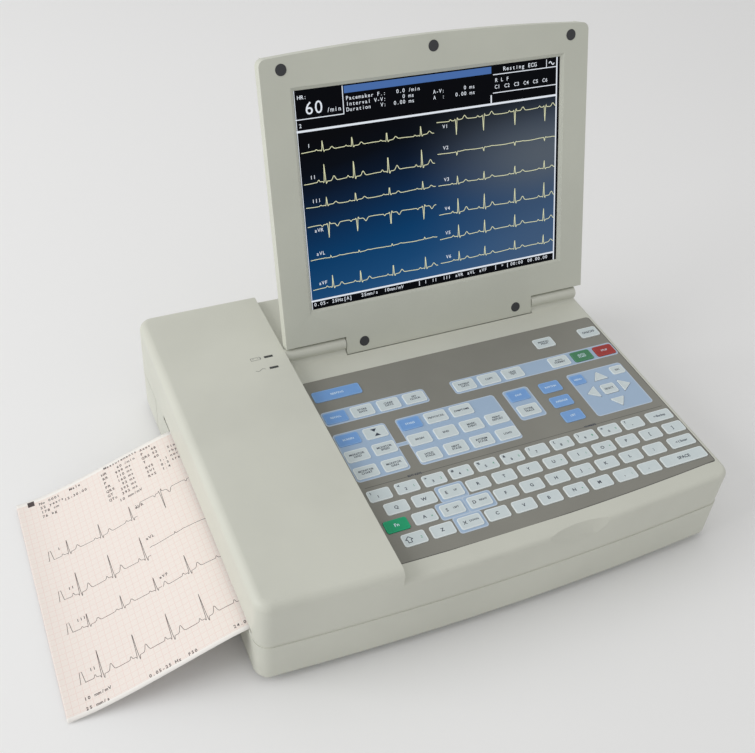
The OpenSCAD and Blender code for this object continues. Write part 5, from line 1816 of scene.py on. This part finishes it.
@dataclass
class Recorder:
    """Side drawer with its chart paper, platen, gears and print head."""

    shop: Workshop
    run: ChartRun = field(default_factory=ChartRun)
    paper_thick: float = 0.12
    ink_lift: float = 0.01
    pen: float = 0.36
    type_size: float = 3.6
    type_pitch: float = 2.55
    type_bold: float = 0.022
    trace_from: float = 18.5
    trace_change: float = 91.0
    trace_end: float = 150.0
    first_beat: float = 30.7
    beat_pitch: float = 27.5
    beat_long: float = 30.0
    springs: tuple[Pair, ...] = ((-183.0, -83.0), (-183.0, 17.0))
    spring_low: float = 60.1
    spring_high: float = 65.1
    spring_turns: float = 4.5
    spring_radius: float = 2.55
    spring_wire: float = 0.4

    def sheet(self) -> bpy.types.Object:
        """Makes the paper: a grid of points over its length and width, with its own chart coordinates.

        Returns:
            The object.
        """
        long = float(self.run.far[-1])
        along, across = np.linspace(0.0, long, 260), np.linspace(0.0, self.run.wide, 44)
        a, b = np.meshgrid(along, across, indexing="ij")
        flat = np.stack([a.ravel(), b.ravel(), np.zeros(a.size)], axis=-1)
        patch = Patch(flat, [grid_faces(len(along), len(across))])
        made = self.shop.piece("chart_sheet", [patch], [ChartPaper("chart_paper")], "paper_drawer", "paper",
                               self.run)
        corners = np.zeros(len(made.data.loops), dtype=np.int32)
        made.data.loops.foreach_get("vertex_index", corners)
        chart = made.data.uv_layers.new(name="chart")
        chart.data.foreach_set("uv", (flat[corners, :2] * MM).astype(np.float32).ravel())
        thick = made.modifiers.new("paper_thickness", "SOLIDIFY")
        thick.thickness, thick.offset = self.paper_thick * MM, -1.0
        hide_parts("paper_sheet")
        return made

    def words(self, text: str, along: float, across: float) -> list[Patch]:
        """Words printed on the paper from a place on, in the letters of a line printer."""
        return self.shop.letters.spaced(text, (along, across), self.type_size, self.type_pitch,
                                        self.ink_lift, self.type_bold)

    def print_on(self) -> bpy.types.Object:
        """Prints tracings, calibration steps and words on the paper.

        A row is the level, the spike and the label of its first lead and of the one after it.

        Returns:
            The object.
        """
        out = []
        rows = ((142.0, 13.5, "I", 153.5, -18.0, "aVR"), (101.0, 21.5, "II", 108.0, 1.6, "aVL"),
                (69.8, 11.5, "III", 68.5, 16.5, "aVF"), (25.0, 22.0, "II", 25.0, 22.0, ""))
        beats = self.first_beat + self.beat_pitch * np.arange(5)
        step = np.array([[13.8, 0.0], [14.6, 0.0], [15.4, 9.6], [17.0, 9.6], [18.2, 0.0], [18.6, 0.0]])
        for level, spike, label, level_late, spike_late, label_late in rows:
            change = self.trace_change if label_late else self.trace_end
            stretches = ((self.trace_from, change - 1.0, level, spike),
                         (change, self.trace_end, level_late, spike_late))
            for start, end, high, size in stretches:
                along = np.linspace(start, end, 420)
                wave = heartbeat((along[:, None] - beats) / self.beat_long, size).sum(axis=-1)
                path = np.stack([along, high + wave + 0.35 * np.sin(along / 9.0 + level)], axis=-1)
                out += [ribbon(path, self.pen, self.ink_lift)] if end > start else []
            out.append(ribbon(step + (0.0, level), self.pen, self.ink_lift))
            out += self.words(label, 22.5, level + 8.0)
            out += self.words(label_late, 90.0, level_late + (-2.6 if spike_late < 0 else 9.0))
        out.append(slab((8.8, 203.4), (14.2, 208.6), self.ink_lift, INK_THICK))
        notes = (("No 0001\n52 years\n178 cm\n76 kg", 17.6, 195.4), ("Male", 44.0, 203.4),
                 ("12:30:00", 38.0, 195.4), ("Measurements", 76.0, 206.4),
                 ("HR\nRR\nP\nPR\nQRS\nQT\nQTc", 72.5, 186.0),
                 (" 60\n999\n110\n160\n 92\n392\n392", 84.0, 186.0),
                 ("/min\nms\nms\nms\nms\nms\nms", 93.5, 186.0),
                 ("Axes", 109.0, 205.0), ("P\nQRS\nT", 108.6, 195.4), ("48\n52\n40", 118.0, 195.4),
                 ("RV5  1.1\nSV1  0.3\nR+S  1.4", 108.6, 179.0),
                 ("Sinus\nrhythm\nnormal\ntrace", 131.0, 186.6),
                 ("10 mm/mV", 80.5, 165.8), ("10 mm/mV", 14.0, 12.4), ("25 mm/s", 13.6, 4.6),
                 ("0.05-25 Hz  F50", 61.2, 5.0), ("24.02", 128.0, 6.8))
        for note in notes:
            out += self.words(*note)
        return self.shop.piece("chart_print", out, [PrintInk("ink_chart", Ink.CHART)], "paper_drawer",
                               "paper", self.run)

    def coil(self, x: float, y: float) -> Patch:
        """A compression spring: a round wire carried along a helix.

        The helix turns steadily as it climbs; the wire's ring lies square to it, in the
        helix's outward and binormal directions.

        Args:
            x: Place of its axis to the right.
            y: Place of its axis to the rear.

        Returns:
            The spring.
        """
        wire = self.spring_wire
        t = np.linspace(0.0, 1.0, 110)[:, None]
        a = 2 * np.pi * self.spring_turns * t
        climb = self.spring_high - self.spring_low - 2 * wire
        path = np.concatenate([x + self.spring_radius * np.cos(a), y + self.spring_radius * np.sin(a),
                               self.spring_low + wire + climb * t], axis=1)
        out = np.concatenate([np.cos(a), np.sin(a), np.zeros_like(a)], axis=1)
        way = np.gradient(path, axis=0)
        way = way / np.linalg.norm(way, axis=1, keepdims=True)
        up = np.cross(way, out)
        b = np.linspace(0.0, 2 * np.pi, 8, endpoint=False)
        ring = np.cos(b)[None, :, None] * out[:, None] + np.sin(b)[None, :, None] * up[:, None]
        return loft(path[:, None] + wire * ring)

    def build(self) -> None:
        """Makes the paper and the springs, and dresses the recorder's solids."""
        shop = self.shop
        paper, ink = self.sheet(), self.print_on()
        self.run.wide * MM
        coils = shop.piece("head_coil_springs", [self.coil(*p) for p in self.springs], [STEEL], "console",
                           "steel")
        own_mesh(coils)
        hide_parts("head_springs")
        shop.moulding("drawer_front", "drawer_panel", BODY, 0.5)
        shop.paint(TRAY, "drawer_tray")
        shop.paint(FoldedLeaves("folded_leaves"), "paper_pack")
        shop.paint(BRASS, "platen_bushes", "motor_pinion")
        shop.moulding("platen_rubber", "platen_roller", PLATEN, 0.3)
        shop.moulding("platen_shaft", "platen_axle", TURNED, 0.2)
        shop.paint(GEAR, "platen_gear", "idler_gear")
        shop.paint(STEEL, "motor_plate", "drawer_rails", "head_bracket")
        shop.moulding("drive_motor", "motor_body", CAN, 0.4)
        shop.paint(ALUMINIUM, "print_head")
        shop.paint(CERAMIC, "heater_strip")


@dataclass
class Console:
    """Two-part housing with its fittings."""

    shop: Workshop
    height: float = KEYBOARD_HEIGHT
    slope: float = KEYBOARD_SLOPE
    rise: float = 12.5

    def signs(self) -> None:
        """Printed signs beside the status windows: a battery and a mains wave."""
        plane = tilted_plane((0.0, 0.0, self.height), self.slope)
        lift = self.rise + 0.005
        box = np.array([[-4.0, -1.6], [4.0, -1.6], [4.0, 1.6], [-4.0, 1.6], [-4.0, -1.6]])
        t = np.linspace(-1.0, 1.0, 40)
        wave = np.stack([4.2 * t, 1.1 * np.sin(np.pi * t)], axis=-1)
        patches = [ribbon(outlined(box, 5) + (-120.5, 80.7), 0.35, lift),
                   ribbon(wave + (-120.5, 66.4), 0.4, lift), slab((-116.5, 80.0), (-115.6, 81.4), lift),
                   slab((-123.6, 80.5), (-122.0, 80.9), lift), slab((-119.4, 80.5), (-117.8, 80.9), lift)]
        self.shop.piece("status_signs", patches, [PrintInk("ink_mark", Ink.MARK)], "console",
                        "keyboard_sheet", plane)

    def build(self) -> None:
        """Dresses the housing's solids and prints the signs."""
        shop = self.shop
        shop.moulding("upper_housing", "upper_case", BODY, 0.5)
        shop.moulding("lower_housing", "lower_case", BODY, 0.4)
        shop.moulding("battery_cover", "battery_door", BODY, 0.2)
        shop.moulding("rubber_feet", "table_feet", FEET, 0.5)
        shop.moulding("status_windows", "status_lamps", WINDOW, 0.15)
        shop.moulding("mains_inlet", "mains_socket", DARK, 0.3)
        shop.moulding("fuse_drawer", "fuse_holder", DARK, 0.3)
        shop.moulding("equipotential_pin", "terminal_pin", TURNED, 0.4)
        shop.moulding("patient_socket", "patient_connector", STEEL, 0.2)
        shop.moulding("data_socket", "data_connector", STEEL, 0.2)
        shop.moulding("speaker", "loudspeaker", DARK, 0.3)
        shop.paint(STEEL, "housing_screws", "hinge_pins")
        shop.paint(SLEEVE, "battery_pack")
        shop.paint(BOARD, "main_board", "power_board")
        self.signs()


@dataclass
class Studio:
    """Floor, surround, lamps and camera.

    Eye and aim are in millimetres, the focal length in image pixels, the rest in metres.
    """

    eye: Triple = (-327.86, -546.2, 655.26)
    aim: Triple = (-14.04, 61.43, 60.0)
    roll: float = 5.274
    focal: float = 1025.87
    floor: Tint = Tint(243, 243, 243)
    floor_half: float = 4.0
    floor_places: int = 9
    floor_height: float = -0.0004
    sky_colour: tuple[float, float, float, float] = (1.0, 0.997, 0.99, 1.0)
    sky_strength: float = 0.62
    lamp_aim: Triple = (0.0, 0.0, 0.08)
    lamps: tuple[tuple[str, Triple, float, float], ...] = (
        ("left_box", (-2.7, 0.35, 1.4), 2.0, 40.0), ("overhead", (-0.35, 0.35, 1.8), 1.8, 3.0))

    def camera(self) -> None:
        """A camera at the photograph's viewpoint, its lens given in image pixels."""
        data = bpy.data.cameras.new("camera")
        data.sensor_fit, data.sensor_width = "HORIZONTAL", SENSOR_WIDTH
        data.lens = SENSOR_WIDTH * self.focal / IMAGE_WIDTH
        data.clip_start, data.clip_end = 0.01, 50.0
        made = linked("camera", data)
        ahead = (Vector(self.aim) - Vector(self.eye)).normalized()
        turn = ahead.to_track_quat("-Z", "Y").to_matrix().to_4x4()
        place = Matrix.Translation(Vector(self.eye) * MM)
        made.matrix_world = place @ turn @ Matrix.Rotation(math.radians(self.roll), 4, "Z")
        bpy.context.scene.camera = made

    def lamp(self, name: str, place: Triple, size: float, power: float) -> None:
        """A soft square lamp that looks at the object.

        Args:
            name: Its name.
            place: Where it stands.
            size: Length of its side.
            power: Its power in watts.
        """
        data = bpy.data.lights.new(name, "AREA")
        data.shape, data.size, data.energy = "SQUARE", size, power
        made = linked(name, data)
        ahead = (Vector(self.lamp_aim) - Vector(place)).normalized()
        made.matrix_world = Matrix.Translation(place) @ ahead.to_track_quat("-Z", "Y").to_matrix().to_4x4()

    def ground(self) -> None:
        """A plain pale floor that takes the object's shadow."""
        side = np.linspace(-self.floor_half, self.floor_half, self.floor_places)
        x, y = np.meshgrid(side, side, indexing="ij")
        points = np.stack([x.ravel(), y.ravel(), np.full(x.size, self.floor_height)], axis=-1)
        mesh = bpy.data.meshes.new("floor")
        mesh.from_pydata(points.tolist(), [], grid_faces(self.floor_places, self.floor_places).tolist())
        s = Shader("floor_paper")
        cloud = s.noise(s.place(), 0.8, 2.0)
        s.dress(base_color=s.mix(cloud, self.floor, self.floor.times(0.99)), roughness=0.85)
        mesh.materials.append(s.material)
        made = linked("floor", mesh)

    def sky(self) -> None:
        """An even pale surround."""
        world = bpy.data.worlds.new("surround")
        bpy.context.scene.world = world
        world.use_nodes = True
        back = world.node_tree.nodes["Background"]
        back.inputs["Color"].default_value = self.sky_colour
        back.inputs["Strength"].default_value = self.sky_strength

    def build(self) -> None:
        """Sets up the view."""
        bpy.context.scene.view_settings.view_transform = "Standard"
        self.camera()
        self.ground()
        self.sky()
        for one in self.lamps:
            self.lamp(*one)


def main() -> None:
    """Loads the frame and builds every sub-assembly."""
    logging.basicConfig(level=logging.INFO, format="%(message)s")
    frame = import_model()
    Studio().build()
    shop = Workshop(frame)
    Console(shop).build()
    Keyboard(shop).build()
    Lid(shop).build()
    Recorder(shop).build()


if __name__ == "__main__":
    main()
